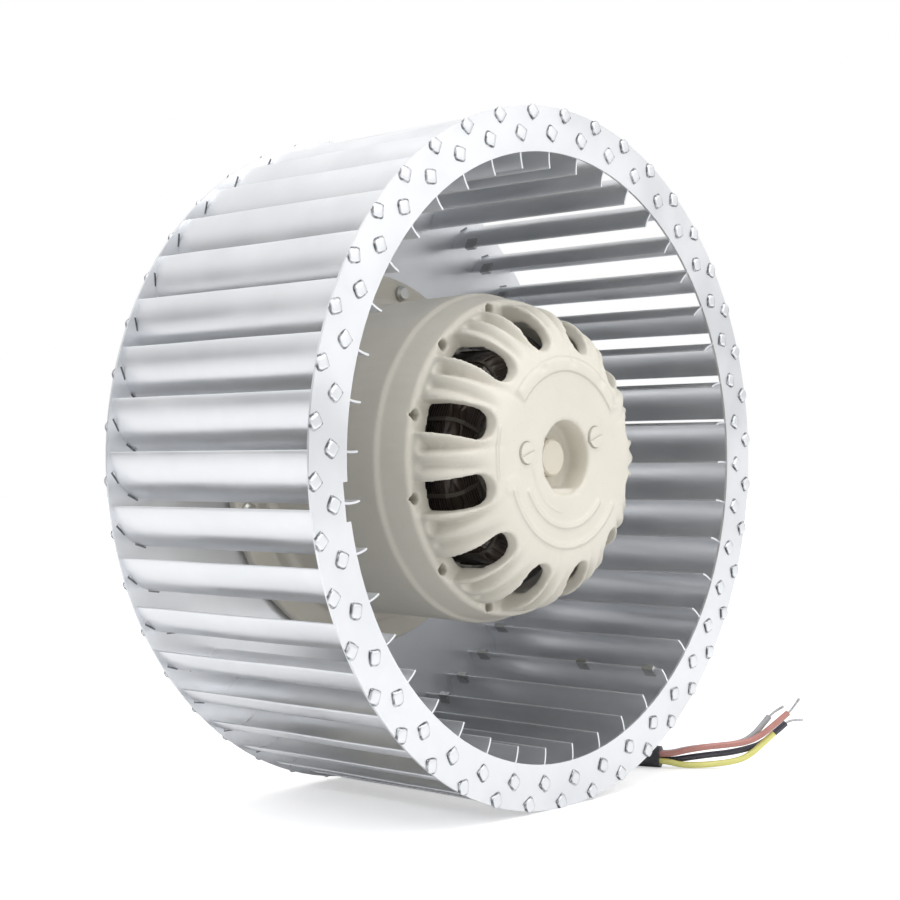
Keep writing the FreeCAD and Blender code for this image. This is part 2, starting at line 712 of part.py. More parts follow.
def make_face_plugs():
    """Two slotted plugs seated on the rotor's face."""
    plugs = []
    for side in ("left", "right"):
        plug = doc.addObject("Part::Cylinder", f"plug_{side}")
        bind(plug, "Radius", "plug_radius")
        bind(plug, "Height", "plug_height")
        slot = doc.addObject("Part::Box", f"plug_slot_{side}")
        bind(slot, "Length", "3 * plug_radius")
        bind(slot, "Width", "plug_slot")
        bind(slot, "Height", "plug_height")
        bind(slot, "Placement.Base.x", "-1.5 * plug_radius")
        bind(slot, "Placement.Base.y", "-plug_slot / 2")
        bind(slot, "Placement.Base.z", "plug_height / 2")
        head = doc.addObject("Part::Cut", f"plug_head_{side}")
        head.Base = plug
        head.Tool = slot
        away = value(f"plug_circle_{side}")
        angle = math.radians(value(f"plug_angle_{side}"))
        spot = FreeCAD.Vector(away * math.cos(angle), away * math.sin(angle), value("face_level"))
        head.Placement = FreeCAD.Placement(spot, FreeCAD.Rotation(FreeCAD.Vector(0, 0, 1), 20))
        plugs.append(head)
    pair = doc.addObject("Part::Compound", "face_plugs")
    pair.Links = plugs
    lay_down(pair)


def make_flange_fasteners():
    """Pan head screws through rotor flange and back plate, each with its nut behind."""
    shank = "flange_screw_radius"
    head = "flange_screw_head"
    top = "flange_front + flange_screw_head_height"
    nut_rear = "wheel_rear - flange_nut_height"
    screw = [("0", nut_rear + " - 0.8"), (shank, nut_rear + " - 0.8"), (shank, "flange_front"),
             (head, "flange_front"), (head, top + " - 1.2"), (head + " - 1", top), ("0", top)]
    body, feature = turned("flange_screws", screw, turn="flange_screw_angle", away="flange_screw_circle")
    polar(body, "flange_screws_round", [feature], "flange_screw_count")
    body = new_body("flange_nuts")
    sketch = flat_sketch(body, "nut_outline", nut_rear)
    hexagon(sketch, "flange_screw_circle", "flange_nut_radius")
    nut = body.newObject("PartDesign::Pad", "nut")
    nut.Profile = sketch
    bind(nut, "Length", "flange_nut_height")
    bore = cylinder(body, "nut_bore", "Subtractive", "flange_screw_radius + screw_clearance / 2",
                    nut_rear + " - 1", "wheel_rear + 1", along="flange_screw_circle")
    polar(body, "flange_nuts_round", [nut, bore], "flange_screw_count")
    lay_down(body, "flange_screw_angle")


def hexagon(sketch, away, radius):
    """Regular hexagon about a point away from the axis, tied by its size and its centre."""
    centre = FreeCAD.Vector(value(away), 0, 0)
    reach = value(radius)
    spots = [centre + FreeCAD.Vector(reach * math.cos(math.radians(60 * i)),
                                     reach * math.sin(math.radians(60 * i)), 0) for i in range(6)]
    for i in range(6):
        sketch.addGeometry(Part.LineSegment(spots[i], spots[(i + 1) % 6]), False)
    for i in range(6):
        sketch.addConstraint(Sketcher.Constraint("Coincident", i, 2, (i + 1) % 6, 1))
    across = ("1", "1 / 2", "-1 / 2", "-1", "-1 / 2", "1 / 2")
    up = ("0", "1", "1", "0", "-1", "-1")
    for i in range(6):
        rise = "0" if up[i] == "0" else f"{up[i]} * {radius} * sqrt(3) / 2"
        tie_corner(sketch, i, 1, spots[i], (f"{away} + {radius} * {across[i]}", rise))


# Shaft and bearings

def make_shaft():
    """Shaft with a chamfer at both ends and a groove for its circlip."""
    groove_top = "rear_bearing_level"
    groove_foot = "rear_bearing_level - circlip_thickness - 0.1"
    outline = [("0", "shaft_rear"), ("shaft_radius - shaft_chamfer", "shaft_rear"),
               ("shaft_radius", "shaft_rear + shaft_chamfer"), ("shaft_radius", groove_foot),
               ("shaft_radius - circlip_groove", groove_foot), ("shaft_radius - circlip_groove", groove_top),
               ("shaft_radius", groove_top), ("shaft_radius", "shaft_front - shaft_chamfer"),
               ("shaft_radius - shaft_chamfer", "shaft_front"), ("0", "shaft_front")]
    turned("shaft", outline)
    turned("bearing_spacer", rectangle("shaft_radius", "spacer_radius",
                                       "front_bearing_level + bearing_width", "hub_rear"))
    turned("shaft_circlip", rectangle("shaft_radius - circlip_groove", "circlip_radius",
                                      "rear_bearing_level - circlip_thickness", "rear_bearing_level"))


def make_bearing(side):
    """Deep groove ball bearing: inner ring, outer ring and balls as separate pieces."""
    low = f"{side}_bearing_level"
    high = f"{side}_bearing_level + bearing_width"
    middle = f"{side}_bearing_level + bearing_width / 2"
    race = "bearing_ball_radius + bearing_ball_gap"
    for name, wall, far in (("inner", "inner_race_radius", "shaft_radius"),
                            ("outer", "outer_race_radius", "bearing_outer_radius")):
        half = f"sqrt(({race}) * ({race}) - (bearing_ball_circle - {wall}) * (bearing_ball_circle - {wall}))"
        start, end = (low, high) if name == "inner" else (high, low)
        way, back = ("-", "+") if name == "inner" else ("+", "-")
        corners = [(wall, f"{middle} {way} {half}"), (wall, f"{middle} {back} {half}"), (wall, end),
                   (far, end), (far, start), (wall, start)]
        turned(f"{side}_bearing_{name}", corners, hollow=(0, "bearing_ball_circle", middle))
    body = new_body(f"{side}_bearing_balls")
    ball = body.newObject("PartDesign::AdditiveSphere", f"{side}_ball")
    bind(ball, "Radius", "bearing_ball_radius")
    bind(ball, "Placement.Base.x", "bearing_ball_circle")
    bind(ball, "Placement.Base.z", middle)
    polar(body, f"{side}_balls_round", [ball], "bearing_ball_count")
    lay_down(body)


def make_bearing_shields():
    """Thin washers on both sides of both bearings, seated on the outer rings."""
    body = new_body("bearing_shields")
    for side in ("rear", "front"):
        for face, low in (("under", f"{side}_bearing_level"),
                          ("over", f"{side}_bearing_level + bearing_width - shield_thickness")):
            revolve(body, f"{side}_shield_{face}",
                    rectangle("inner_race_radius + 0.2", "outer_race_radius", low, low + " + shield_thickness"))
    lay_down(body)


def make_preload_spring():
    """Conical spring washer between the tube's shoulder and the front bearing's outer ring."""
    foot = "front_bearing_level - spring_height"
    outer = "bearing_outer_radius - 0.2"
    inner = "outer_race_radius + 0.3"
    turned("preload_spring", [(outer, foot), (outer, foot + " + spring_metal"), (inner, "front_bearing_level"),
                              (inner, "front_bearing_level - spring_metal")])


# Cores and windings

def make_cores():
    """Laminated rotor ring with its two cast cage rings, and the slotted stator stack."""
    turned("rotor_core", rectangle("rotor_core_inner", "rotor_core_outer", "core_level", "core_front"))
    turned("rotor_end_ring_rear", rectangle("cage_ring_inner", "rotor_core_outer",
                                            "core_level - cage_ring_height", "core_level"))
    turned("rotor_end_ring_front", rectangle("cage_ring_inner", "rotor_core_outer",
                                             "core_front", "core_front + cage_ring_height"))
    slotted_disc("stator_core", "stator_radius", "core_level", "core_front", "0")
    slotted_disc("slot_insulation_front", "stator_radius - insulation_inset", "core_front",
                 "insulation_front_top", "coil_inset")
    slotted_disc("slot_insulation_rear", "stator_radius - insulation_inset", "insulation_rear_foot",
                 "core_level", "coil_inset")


def slotted_disc(label, radius, low, high, margin):
    """Disc on the bearing tube with one narrow mouthed slot for each coil side."""
    body, _ = turned(label, rectangle("tube_clear_radius", radius, low, high))
    half = f"slot_width / 2 - {margin}"
    slot = box(body, label + "_slot", "Subtractive", (f"slot_root_radius + {margin}", f"slot_top_radius - {margin}"),
               (f"-({half})", half), (low + " - 1", high + " + 1"))
    mouth = box(body, label + "_mouth", "Subtractive", (f"slot_top_radius - {margin} - 1", "stator_radius + 1"),
                ("-slot_mouth / 2", "slot_mouth / 2"), (low + " - 1", high + " + 1"))
    polar(body, label + "_slots", [slot, mouth], "slot_count")


def make_windings():
    """Coil sides in the slots and the two bundles of end turns over them."""
    body = new_body("slot_coils")
    half = "slot_width / 2 - coil_inset"
    coil = box(body, "coil_side", "Additive", ("slot_root_radius + coil_inset", "slot_top_radius - coil_inset"),
               ("-(" + half + ")", half), ("insulation_rear_foot", "insulation_front_top"))
    polar(body, "coil_sides", [coil], "slot_count")
    lay_down(body)
    turned("winding_front", arch("insulation_front_top", "front_winding_height", "+", "0"))
    turned("winding_rear", arch("insulation_rear_foot", "rear_winding_height", "-", "0"))


def arch(foot, height, way, grow):
    """Outline over a ring of end turns from its inner foot to its outer one; way is + or - along the axis."""
    back = "-" if way == "+" else "+"
    top = f"{foot} {way} {height}"
    return [(f"winding_inner_radius - {grow}", foot),
            (f"winding_inner_radius - {grow}", f"{top} {back} winding_round"),
            (f"winding_inner_radius + winding_round / 3 - 0.7 * {grow}",
             f"{top} {back} winding_round / 3 {way} 0.7 * {grow}"),
            ("winding_inner_radius + winding_round", f"{top} {way} {grow}"),
            ("winding_outer_radius - winding_round", f"{top} {way} {grow}"),
            (f"winding_outer_radius - winding_round / 3 + 0.7 * {grow}",
             f"{top} {back} winding_round / 3 {way} 0.7 * {grow}"),
            (f"winding_outer_radius + {grow}", f"{top} {back} winding_round"),
            (f"winding_outer_radius + {grow}", foot)]


def make_lacing():
    """Cord ties over the front end turns: each an open loop seated on the bundle."""
    body = new_body("winding_lacing")
    sketch = upright_sketch(body, "lacing_outline")
    under = arch("insulation_front_top", "front_winding_height", "+", "0.01")
    over = arch("insulation_front_top", "front_winding_height", "+", "lacing_thickness")
    draw_outline(sketch, under + over[::-1])
    tie = body.newObject("PartDesign::Pad", "tie")
    tie.Profile = sketch
    tie.Midplane = True
    bind(tie, "Length", "lacing_width")
    polar(body, "ties", [tie], "lacing_count")
    lay_down(body)


def make_protector():
    """Flat thermal protector lying on the rear end turns."""
    body = new_body("thermal_protector")
    middle = "(winding_inner_radius + winding_outer_radius) / 2"
    top = "insulation_rear_foot - rear_winding_height"
    box(body, "protector", "Additive", (middle + " - protector_width / 2", middle + " + protector_width / 2"),
        ("-protector_length / 2", "protector_length / 2"), (top + " - protector_height", top))
    lay_down(body, "30")


# Stator bush and cable outlet

def make_stator_bush():
    """Cast rear flange and bearing tube in one, its first direction along the cable outlet."""
    outline = [("bearing_outer_radius", "bush_boss_level"), ("bush_boss_radius", "bush_boss_level"),
               ("bush_boss_radius", "bush_plate_level"), ("bush_radius - bush_skirt", "bush_plate_level"),
               ("bush_radius - bush_skirt", "0"), ("bush_radius", "0"), ("bush_radius", "bush_front - 1"),
               ("bush_radius - 1", "bush_front"), ("tube_foot_radius", "bush_front"),
               ("tube_radius", "bush_front + tube_foot_height"), ("tube_radius", "tube_front"),
               ("bearing_outer_radius", "tube_front"),
               ("bearing_outer_radius", "front_bearing_level - spring_height"),
               ("tube_shoulder_radius", "front_bearing_level - spring_height"),
               ("tube_shoulder_radius", "rear_bearing_level + bearing_width"),
               ("bearing_outer_radius", "rear_bearing_level + bearing_width")]
    body, _ = turned("stator_bush", outline, turn="cable_angle")
    along = "mount_circle * cos(mount_turn)"
    aside = "mount_circle * sin(mount_turn)"
    boss = cylinder(body, "mount_boss", "Additive", "mount_boss_radius", "0", "bush_plate_level + 1", along, aside)
    hole = cylinder(body, "mount_hole", "Subtractive", "mount_hole_radius", "-1", "mount_hole_depth", along, aside)
    polar(body, "mounts", [boss, hole], "mount_count")
    revolve(body, "cable_outlet",
            [("clip_near - 3", "0"), ("clip_near - 3", "cable_radius + gland_clearance"),
             ("gland_inner_end", "cable_radius + gland_clearance"), ("gland_inner_end", "gland_neck_radius"),
             ("bush_radius + 1", "gland_neck_radius"), ("bush_radius + 1", "0")],
            kind="Groove", axis="H_Axis", lift="cable_level")
    for side, sign in (("left", ""), ("right", "-")):
        cylinder(body, f"clip_hole_{side}", "Subtractive", "clip_screw_radius + screw_clearance",
                 "bush_plate_level - 1", "bush_plate_level + 5",
                 "(clip_near + clip_far) / 2", f"{sign}clip_screw_spread")
    body.Tip = cylinder(body, "earth_hole", "Subtractive", "earth_screw_radius + screw_clearance",
                        "bush_plate_level - 1", "bush_plate_level + earth_screw_length - 3",
                        "-earth_screw_circle", "0")


def make_bush_cap():
    """Pressed plug that closes the bearing tube at the rear."""
    rim = "bearing_outer_radius"
    turned("bush_cap", [("0", "cap_level"), (rim + " - 1", "cap_level"), (rim + " - 1", "cap_level - 1.5"),
                        (rim, "cap_level - 1.5"), (rim, "cap_level + cap_thickness"),
                        ("0", "cap_level + cap_thickness")])


def make_cable_outlet():
    """Rubber gland with a tapered relief, the clamp block, its screws and the earth screw."""
    bore = "cable_radius + gland_clearance / 2"
    flange_end = "bush_radius + gland_flange"
    outline = [("gland_inner_end", bore), ("gland_inner_end", "gland_neck_radius"),
               ("bush_radius", "gland_neck_radius"), ("bush_radius", "gland_flange_radius"),
               (flange_end, "gland_flange_radius"), (flange_end + " + gland_taper", "gland_taper_radius"),
               (flange_end + " + gland_taper", bore)]
    turned("cable_gland", outline, turn="cable_angle", axis="H_Axis", lift="cable_level")
    make_cable_clip()
    body = new_body("earth_screw")
    cylinder(body, "earth_shank", "Additive", "earth_screw_radius", "bush_plate_level - 0.5",
             "bush_plate_level + earth_screw_length - 4", "-earth_screw_circle")
    cylinder(body, "earth_head", "Additive", "earth_screw_head", "bush_plate_level - 3",
             "bush_plate_level", "-earth_screw_circle")
    lay_down(body, "cable_angle")


def make_cable_clip():
    """Clamp block under the plate with a round saddle over the cable's cores, and its two screws."""
    low = "cable_level - cable_radius - clip_cover"
    body = new_body("cable_clip")
    box(body, "clip_block", "Additive", ("clip_near", "clip_far"), ("-clip_half_width", "clip_half_width"),
        (low, "bush_plate_level"))
    revolve(body, "clip_saddle", [("clip_near - 1", "0"), ("clip_near - 1", "cable_radius + gland_clearance"),
                                  ("clip_far + 1", "cable_radius + gland_clearance"), ("clip_far + 1", "0")],
            kind="Groove", axis="H_Axis", lift="cable_level")
    screws = new_body("clip_screws")
    middle = "(clip_near + clip_far) / 2"
    for side, sign in (("left", ""), ("right", "-")):
        cylinder(body, f"clip_bore_{side}", "Subtractive", "clip_screw_radius + screw_clearance",
                 low + " - 1", "bush_plate_level + 1", middle, f"{sign}clip_screw_spread")
        cylinder(screws, f"clip_shank_{side}", "Additive", "clip_screw_radius", low, "bush_plate_level + 4.5",
                 middle, f"{sign}clip_screw_spread")
        cylinder(screws, f"clip_head_{side}", "Additive", "clip_screw_head", low + " - clip_screw_head_height",
                 low, middle, f"{sign}clip_screw_spread")
    lay_down(body, "cable_angle")
    lay_down(screws, "cable_angle")


# Cable and conductors

def bent_tube(points, radius):
    """Round tube along straight runs joined by tangent arcs; returns the solid and its smallest radius."""
    spots = [FreeCAD.Vector(*point) for point in points]
    edges = []
    here = spots[0]
    length = 0.0
    tightest = 1e9
    for before, corner, after in zip(spots, spots[1:], spots[2:]):
        arriving = (corner - before).normalize()
        leaving = (after - corner).normalize()
        turn = arriving.getAngle(leaving)
        setback = BEND_SHARE * min((corner - before).Length, (after - corner).Length)
        bend = setback / math.tan(turn / 2)
        tightest = min(tightest, bend)
        start = corner - arriving * setback
        end = corner + leaving * setback
        inward = (leaving - arriving).normalize()
        middle = corner + inward * (bend / math.cos(turn / 2) - bend)
        edges.append(Part.LineSegment(here, start).toShape())
        edges.append(Part.Arc(start, middle, end).toShape())
        length += (start - here).Length + bend * turn
        here = end
    edges.append(Part.LineSegment(here, spots[-1]).toShape())
    length += (spots[-1] - here).Length
    path = Part.Wire(edges)
    section = Part.Wire([Part.Circle(spots[0], spots[1] - spots[0], radius).toShape()])
    tube = path.makePipeShell([section], True, False)
    expected = math.pi * radius ** 2 * length
    print(f"tube length {length:.1f} smallest bend {tightest:.1f} volume ratio {tube.Volume / expected:.4f}")
    return tube


def make_cable():
    """Supply cable from the gland to its cut end, and the four conductors that leave it."""
    sheath = doc.addObject("Part::Feature", "supply_cable")
    sheath.Shape = bent_tube(CABLE_ROUTE, value("cable_radius"))
    subparts.append(sheath)
    end = FreeCAD.Vector(*CABLE_ROUTE[-1])
    ahead = (end - FreeCAD.Vector(*CABLE_ROUTE[-2])).normalize()
    right = ahead.cross(FreeCAD.Vector(0, 0, 1)).normalize()
    spread = value("conductor_offset")
    strands = []
    for name, (offset, route, tip) in CONDUCTORS.items():
        start = end + right * (offset[0] * spread) + FreeCAD.Vector(0, 0, offset[1] * spread)
        conductor = doc.addObject("Part::Feature", name)
        conductor.Shape = bent_tube(((start.x, start.y, start.z),) + route, value("conductor_radius"))
        subparts.append(conductor)
        if tip:
            foot = FreeCAD.Vector(*route[-1])
            knee = foot + (foot - FreeCAD.Vector(*route[-2])).normalize() * value("strand_knee")
            strands.append(bent_tube((tuple(foot), tuple(knee), tip), value("strand_radius")))
    bare = doc.addObject("Part::Feature", "wire_ends")
    bare.Shape = Part.makeCompound(strands)
    subparts.append(bare)


def check_and_write():
    """Stop on any failed object, then write one file for each sub-part."""
    doc.recompute()
    failed = [item.Name for item in doc.Objects if "Invalid" in item.State or "Error" in item.State]
    for item in subparts:
        if item.Shape.isNull() or not item.Shape.isValid() or not item.Shape.Solids:
            failed.append(item.Label)
    if failed:
        raise RuntimeError("failed: " + ", ".join(failed))
    os.makedirs("parts", exist_ok=True)
    for item in subparts:
        item.Shape.exportStep(f"parts/{item.Label}.step")
        print(f"{item.Label}: {len(item.Shape.Solids)} solids, volume {item.Shape.Volume:.0f}")


KNOWN = set(SIZES) | set(LEVELS)
fill_sheet()
make_inlet_ring()
make_back_plate()
make_blades()
make_balance_clips()
make_rotor_shell()
make_face_plugs()
make_flange_fasteners()
make_shaft()
make_bearing("rear")
make_bearing("front")
make_bearing_shields()
make_preload_spring()
make_cores()
make_windings()
make_lacing()
make_protector()
make_stator_bush()
make_bush_cap()
make_cable_outlet()
make_cable()
check_and_write()
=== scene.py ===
"""Looks of a centrifugal fan: galvanised wheel, cast and painted rotor, windings, supply cable.

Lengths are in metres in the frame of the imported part: the axis runs along Y through the
origin, the inlet faces -Y and the floor lies under the wheel's rim.
"""
import json
import math

import bmesh
import bpy
import numpy as np
from mathutils import Matrix, Vector


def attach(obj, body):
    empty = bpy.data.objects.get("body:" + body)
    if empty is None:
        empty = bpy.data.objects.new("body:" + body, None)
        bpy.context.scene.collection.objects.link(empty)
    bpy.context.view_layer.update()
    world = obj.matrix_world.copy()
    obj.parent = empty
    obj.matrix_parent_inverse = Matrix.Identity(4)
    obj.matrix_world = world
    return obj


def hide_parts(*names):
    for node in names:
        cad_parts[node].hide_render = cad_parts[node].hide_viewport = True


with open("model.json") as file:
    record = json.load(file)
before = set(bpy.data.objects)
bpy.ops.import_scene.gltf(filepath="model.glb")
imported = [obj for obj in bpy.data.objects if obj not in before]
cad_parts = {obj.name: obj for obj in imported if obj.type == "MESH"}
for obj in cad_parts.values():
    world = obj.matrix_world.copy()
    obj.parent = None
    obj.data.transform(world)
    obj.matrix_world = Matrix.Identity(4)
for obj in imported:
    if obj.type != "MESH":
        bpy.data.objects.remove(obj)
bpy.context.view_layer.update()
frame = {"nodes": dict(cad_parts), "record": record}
nodes = frame["nodes"]

MM = 0.001
FLOOR = -0.140
FLOOR_REACH = 6.0
SENSOR_WIDTH = 36

# The wheel, in millimetres and degrees. A blade's section is an arc about a point out from the axis. Each row
# of tabs has its angle on that arc and its lean, and a flap's middle lies along the lean from the tab's stem.
# Each blade's free edge is bowed by its own amount. Edges sharper than the fold angle stay sharp.
ARC_CENTRE, ARC_RADIUS, ARC_END = 120.2, 18.0, 108.0
HALF_METAL = 0.4
FIRST_BLADE, BLADES = 7.9, 42
SECTORS, SECTOR_BLADES = 7, 6
REAR_FACE, PLATE_FACE, RING_BACK, RING_FACE = 20.0, 21.0, 132.0, 133.0
TAB_ROWS = ((31.0, 40.0), (67.0, 66.0))
FLAP_MIDDLE = 2.25
BOW_SEED, BOW_LEAST, BOW_MOST = 42, 0.05, 0.3
FOLD_ANGLE = 50

# The rotor, in millimetres and degrees: middle of the dome's arc in the half section (out, high), the vents'
# step, the plugs' places (reach, angle), and the low bands on the face (two radii, two angles, height from
# 0 to 1). Then the casting's mesh: voxel and flatness in metres, smoothing rounds, most triangles
DOME_OUT, DOME_HIGH = 35.8, 108.0
VENT_STEP = 30
PLUGS = ((25.6, 176.4), (20.4, 24.5))
CAST_BANDS = ((34.6, 40.6, 34, 142, 1.0), (35.0, 36.6, 200, 328, 0.7), (27.0, 28.6, 208, 320, 0.7),
              (21.5, 22.6, 190, 262, 0.5), (41.6, 42.8, 164, 192, 0.8))
CAST_VOXEL, CAST_FLATNESS, CAST_ROUNDS, CAST_TRIANGLES = 0.00085, 0.00018, 2, 190000

# Camera, found from the wheel's two rims in the photo
CAMERA_PLACE = (-0.5276, -0.5421, -0.0047)
CAMERA_RIGHT = (0.66506, -0.74679, 0.0)
CAMERA_FORWARD = (0.74674, 0.66501, 0.01159)
CAMERA_LENS = 66.4


def new_object(name, data):
    """Object with this data, linked to the scene."""
    made = bpy.data.objects.new(name, data)
    bpy.context.scene.collection.objects.link(made)
    return made


def photo_camera():
    """Camera at the photo's place: columns of its matrix are right, up and backward."""
    data = bpy.data.cameras.new("photo_camera")
    data.lens = CAMERA_LENS
    data.sensor_width = SENSOR_WIDTH
    data.clip_start = 0.01
    camera = new_object("photo_camera", data)
    right = Vector(CAMERA_RIGHT).normalized()
    back = -Vector(CAMERA_FORWARD).normalized()
    up = back.cross(right)
    turn = Matrix((right, up, back)).transposed().to_4x4()
    camera.matrix_world = Matrix.Translation(CAMERA_PLACE) @ turn
    bpy.context.scene.camera = camera


photo_camera()

# Node helpers


def add(tree, kind, inputs=None, **settings):
    """One shader node. Inputs map a socket's name or number to a value or to another node's socket."""
    made = tree.nodes.new("ShaderNode" + kind)
    for name, value in settings.items():
        setattr(made, name, value)
    for key, value in (inputs or {}).items():
        if isinstance(value, bpy.types.NodeSocket):
            tree.links.new(value, made.inputs[key])
        else:
            made.inputs[key].default_value = value
    return made


def math_of(tree, operation, *values):
    """Output of a Math node."""
    return add(tree, "Math", dict(enumerate(values)), operation=operation).outputs[0]


def plus(tree, first, second):
    """Sum of two values."""
    return math_of(tree, "ADD", first, second)


def minus(tree, first, second):
    """First value less the second."""
    return math_of(tree, "SUBTRACT", first, second)


def times(tree, first, second):
    """Product of two values."""
    return math_of(tree, "MULTIPLY", first, second)


def length_of(tree, first, second):
    """Length of the offset with these two parts."""
    return math_of(tree, "SQRT", plus(tree, times(tree, first, first), times(tree, second, second)))


def remap(tree, value, low, high, to_low, to_high):
    """Value carried from one range to another on a smooth step, held at its ends."""
    return add(tree, "MapRange", {"Value": value, "From Min": low, "From Max": high, "To Min": to_low,
                                  "To Max": to_high}, interpolation_type="SMOOTHSTEP").outputs["Result"]


def band(tree, value, low, high, soft):
    """1 between two limits, with soft ends."""
    return times(tree, remap(tree, value, low - soft, low + soft, 0.0, 1.0),
                 remap(tree, value, high - soft, high + soft, 1.0, 0.0))


def blend_colours(tree, factor, first, second):
    """Colour between two colours."""
    made = add(tree, "Mix", data_type="RGBA")
    for key, value in (("Factor_Float", factor), ("A_Color", first), ("B_Color", second)):
        socket = next(s for s in made.inputs if s.identifier == key)
        if isinstance(value, bpy.types.NodeSocket):
            tree.links.new(value, socket)
        else:
            socket.default_value = value if key == "Factor_Float" else (*value[:3], 1)
    return next(s for s in made.outputs if s.identifier == "Result_Color")


def noise(tree, place, scale, detail=3.0, roughness=0.5):
    """Soft noise value at a place."""
    return add(tree, "TexNoise", {"Vector": place, "Scale": scale, "Detail": detail,
                                  "Roughness": roughness}).outputs["Fac"]


def new_group(name, inputs, outputs):
    """Empty shader group with named sockets: Place is a vector, the rest are numbers."""
    tree = bpy.data.node_groups.new(name, "ShaderNodeTree")
    for names, way in ((inputs, "INPUT"), (outputs, "OUTPUT")):
        for socket in names:
            kind = "NodeSocketVector" if socket == "Place" else "NodeSocketFloat"
            tree.interface.new_socket(socket, in_out=way, socket_type=kind)
    return tree, tree.nodes.new("NodeGroupInput"), tree.nodes.new("NodeGroupOutput")


def zinc_flakes():
    """Smooth hot dip zinc: faint crystals some millimetres wide under soft clouds."""
    tree, given, out = new_group("zinc_flakes", ["Place", "Scale"], ["Shade", "Gloss", "Height"])
    place, scale = given.outputs["Place"], given.outputs["Scale"]
    cells = add(tree, "TexVoronoi", {"Vector": place, "Scale": scale, "Smoothness": 1.0},
                feature="SMOOTH_F1")
    tone = add(tree, "SeparateColor", {0: cells.outputs["Color"]}).outputs[0]
    cloud = noise(tree, place, times(tree, scale, 0.12), 2.0)
    shade = plus(tree, times(tree, tone, 0.08), times(tree, cloud, 0.92))
    tree.links.new(shade, out.inputs["Shade"])
    tree.links.new(cloud, out.inputs["Gloss"])
    tree.links.new(noise(tree, place, times(tree, scale, 0.35), 1.0), out.inputs["Height"])
    return tree


def polar_place(tree, place):
    """Distance from the fan's axis, angle round it from +X towards +Z, and the place along it."""
    x, y, z = add(tree, "SeparateXYZ", {0: place}).outputs
    return length_of(tree, x, z), math_of(tree, "ARCTAN2", z, x), y


def near_centre(tree, away, turn, centre, pitch):
    """Offsets out and round from the nearest of many centres that repeat each pitch (metres, radians)."""
    reach, start = centre
    shifted = plus(tree, minus(tree, turn, start), pitch / 2)
    off = minus(tree, math_of(tree, "FLOORED_MODULO", shifted, pitch), pitch / 2)
    out = minus(tree, times(tree, away, math_of(tree, "COSINE", off)), reach)
    return out, times(tree, away, math_of(tree, "SINE", off))


def flap_offsets(tree, away, turn, tab_turn, lean):
    """Offsets along and across the nearest flap in a row of tabs, from that flap's middle."""
    tab_turn, lean = math.radians(tab_turn), math.radians(lean)
    out = ARC_CENTRE + ARC_RADIUS * math.cos(tab_turn) + FLAP_MIDDLE * math.cos(lean)
    aside = ARC_RADIUS * math.sin(tab_turn) + FLAP_MIDDLE * math.sin(lean)
    start = math.atan2(aside, out)
    centre = (math.hypot(out, aside) * MM, start + math.radians(FIRST_BLADE))
    outward, around = near_centre(tree, away, turn, centre, 2 * math.pi / BLADES)
    slope = lean - start
    along = plus(tree, times(tree, outward, math.cos(slope)), times(tree, around, math.sin(slope)))
    across = minus(tree, times(tree, around, math.cos(slope)), times(tree, outward, math.sin(slope)))
    return along, across


def tab_gap_shade():
    """Folded tabs: painted shade as a dark line in the gap along each flap's outline, its pillow like face,
    and painted shade in the open slot inside.

    A flap is a box with rounded corners, 5.3 by 5 mm, in directions turned by the tab's lean. With q the
    offsets' size less the box's straight half sides, the distance outside is |max(q, 0)| - corner radius.
    """
    tree, given, out = new_group("tab_gap_shade", ["Place"], ["Seam", "Height"])
    away, turn, y = polar_place(tree, given.outputs["Place"])
    edges, slot_shades = [], []
    for tab_turn, lean in TAB_ROWS:
        along, across = flap_offsets(tree, away, turn, tab_turn, lean)
        q = [math_of(tree, "MAXIMUM", minus(tree, math_of(tree, "ABSOLUTE", value), straight), 0.0)
             for value, straight in ((along, 0.00115), (across, 0.0010))]
        edges.append(minus(tree, length_of(tree, *q), 0.0015))
        slot_shades.append(times(tree, band(tree, along, -0.00195, -0.00115, 0.00012),
                           band(tree, across, -0.0027, 0.0027, 0.0002)))
    edge = math_of(tree, "MINIMUM", *edges)
    # The ring's face is at y = -0.133, the back plate's rear at -0.020 and its inner side at -0.021
    zone = math_of(tree, "MAXIMUM", remap(tree, y, -0.1326, -0.1322, 1.0, 0.0),
                   remap(tree, y, -0.0206, -0.0201, 0.0, 1.0))
    inner_face = band(tree, y, -0.0212, -0.0207, 0.0001)
    uneven = remap(tree, noise(tree, given.outputs["Place"], 420.0, 1.0), 0.35, 0.6, 0.35, 1.0)
    # Painted shade: a dark line in the gap round each flap and a dark band in each open slot on the plate's
    # inner side
    line = remap(tree, math_of(tree, "ABSOLUTE", minus(tree, edge, 0.0001)), 0.00016, 0.00056, 1.0, 0.0)
    gap_shade = times(tree, times(tree, line, uneven), zone)
    slot_shade = times(tree, math_of(tree, "MAXIMUM", *slot_shades), inner_face)
    tree.links.new(math_of(tree, "MAXIMUM", gap_shade, slot_shade), out.inputs["Seam"])
    tree.links.new(times(tree, remap(tree, edge, -0.0013, 0.0, 1.0, 0.0), zone), out.inputs["Height"])
    return tree


def cast_skin():
    """Painted casting: low waves, orange peel and a few pits."""
    tree, given, out = new_group("cast_skin", ["Place", "Scale"], ["Height", "Pits", "Cloud"])
    place, scale = given.outputs["Place"], given.outputs["Scale"]
    waves = noise(tree, place, scale, 2.0)
    peel = noise(tree, place, times(tree, scale, 9.0), 3.0, 0.6)
    dots = add(tree, "TexVoronoi", {"Vector": place, "Scale": times(tree, scale, 3.1)}).outputs["Distance"]
    pits = remap(tree, dots, 0.04, 0.12, 1.0, 0.0)
    height = plus(tree, waves, times(tree, peel, 0.22))
    tree.links.new(minus(tree, height, times(tree, pits, 0.25)), out.inputs["Height"])
    tree.links.new(pits, out.inputs["Pits"])
    tree.links.new(noise(tree, place, times(tree, scale, 0.35), 3.0), out.inputs["Cloud"])
    return tree


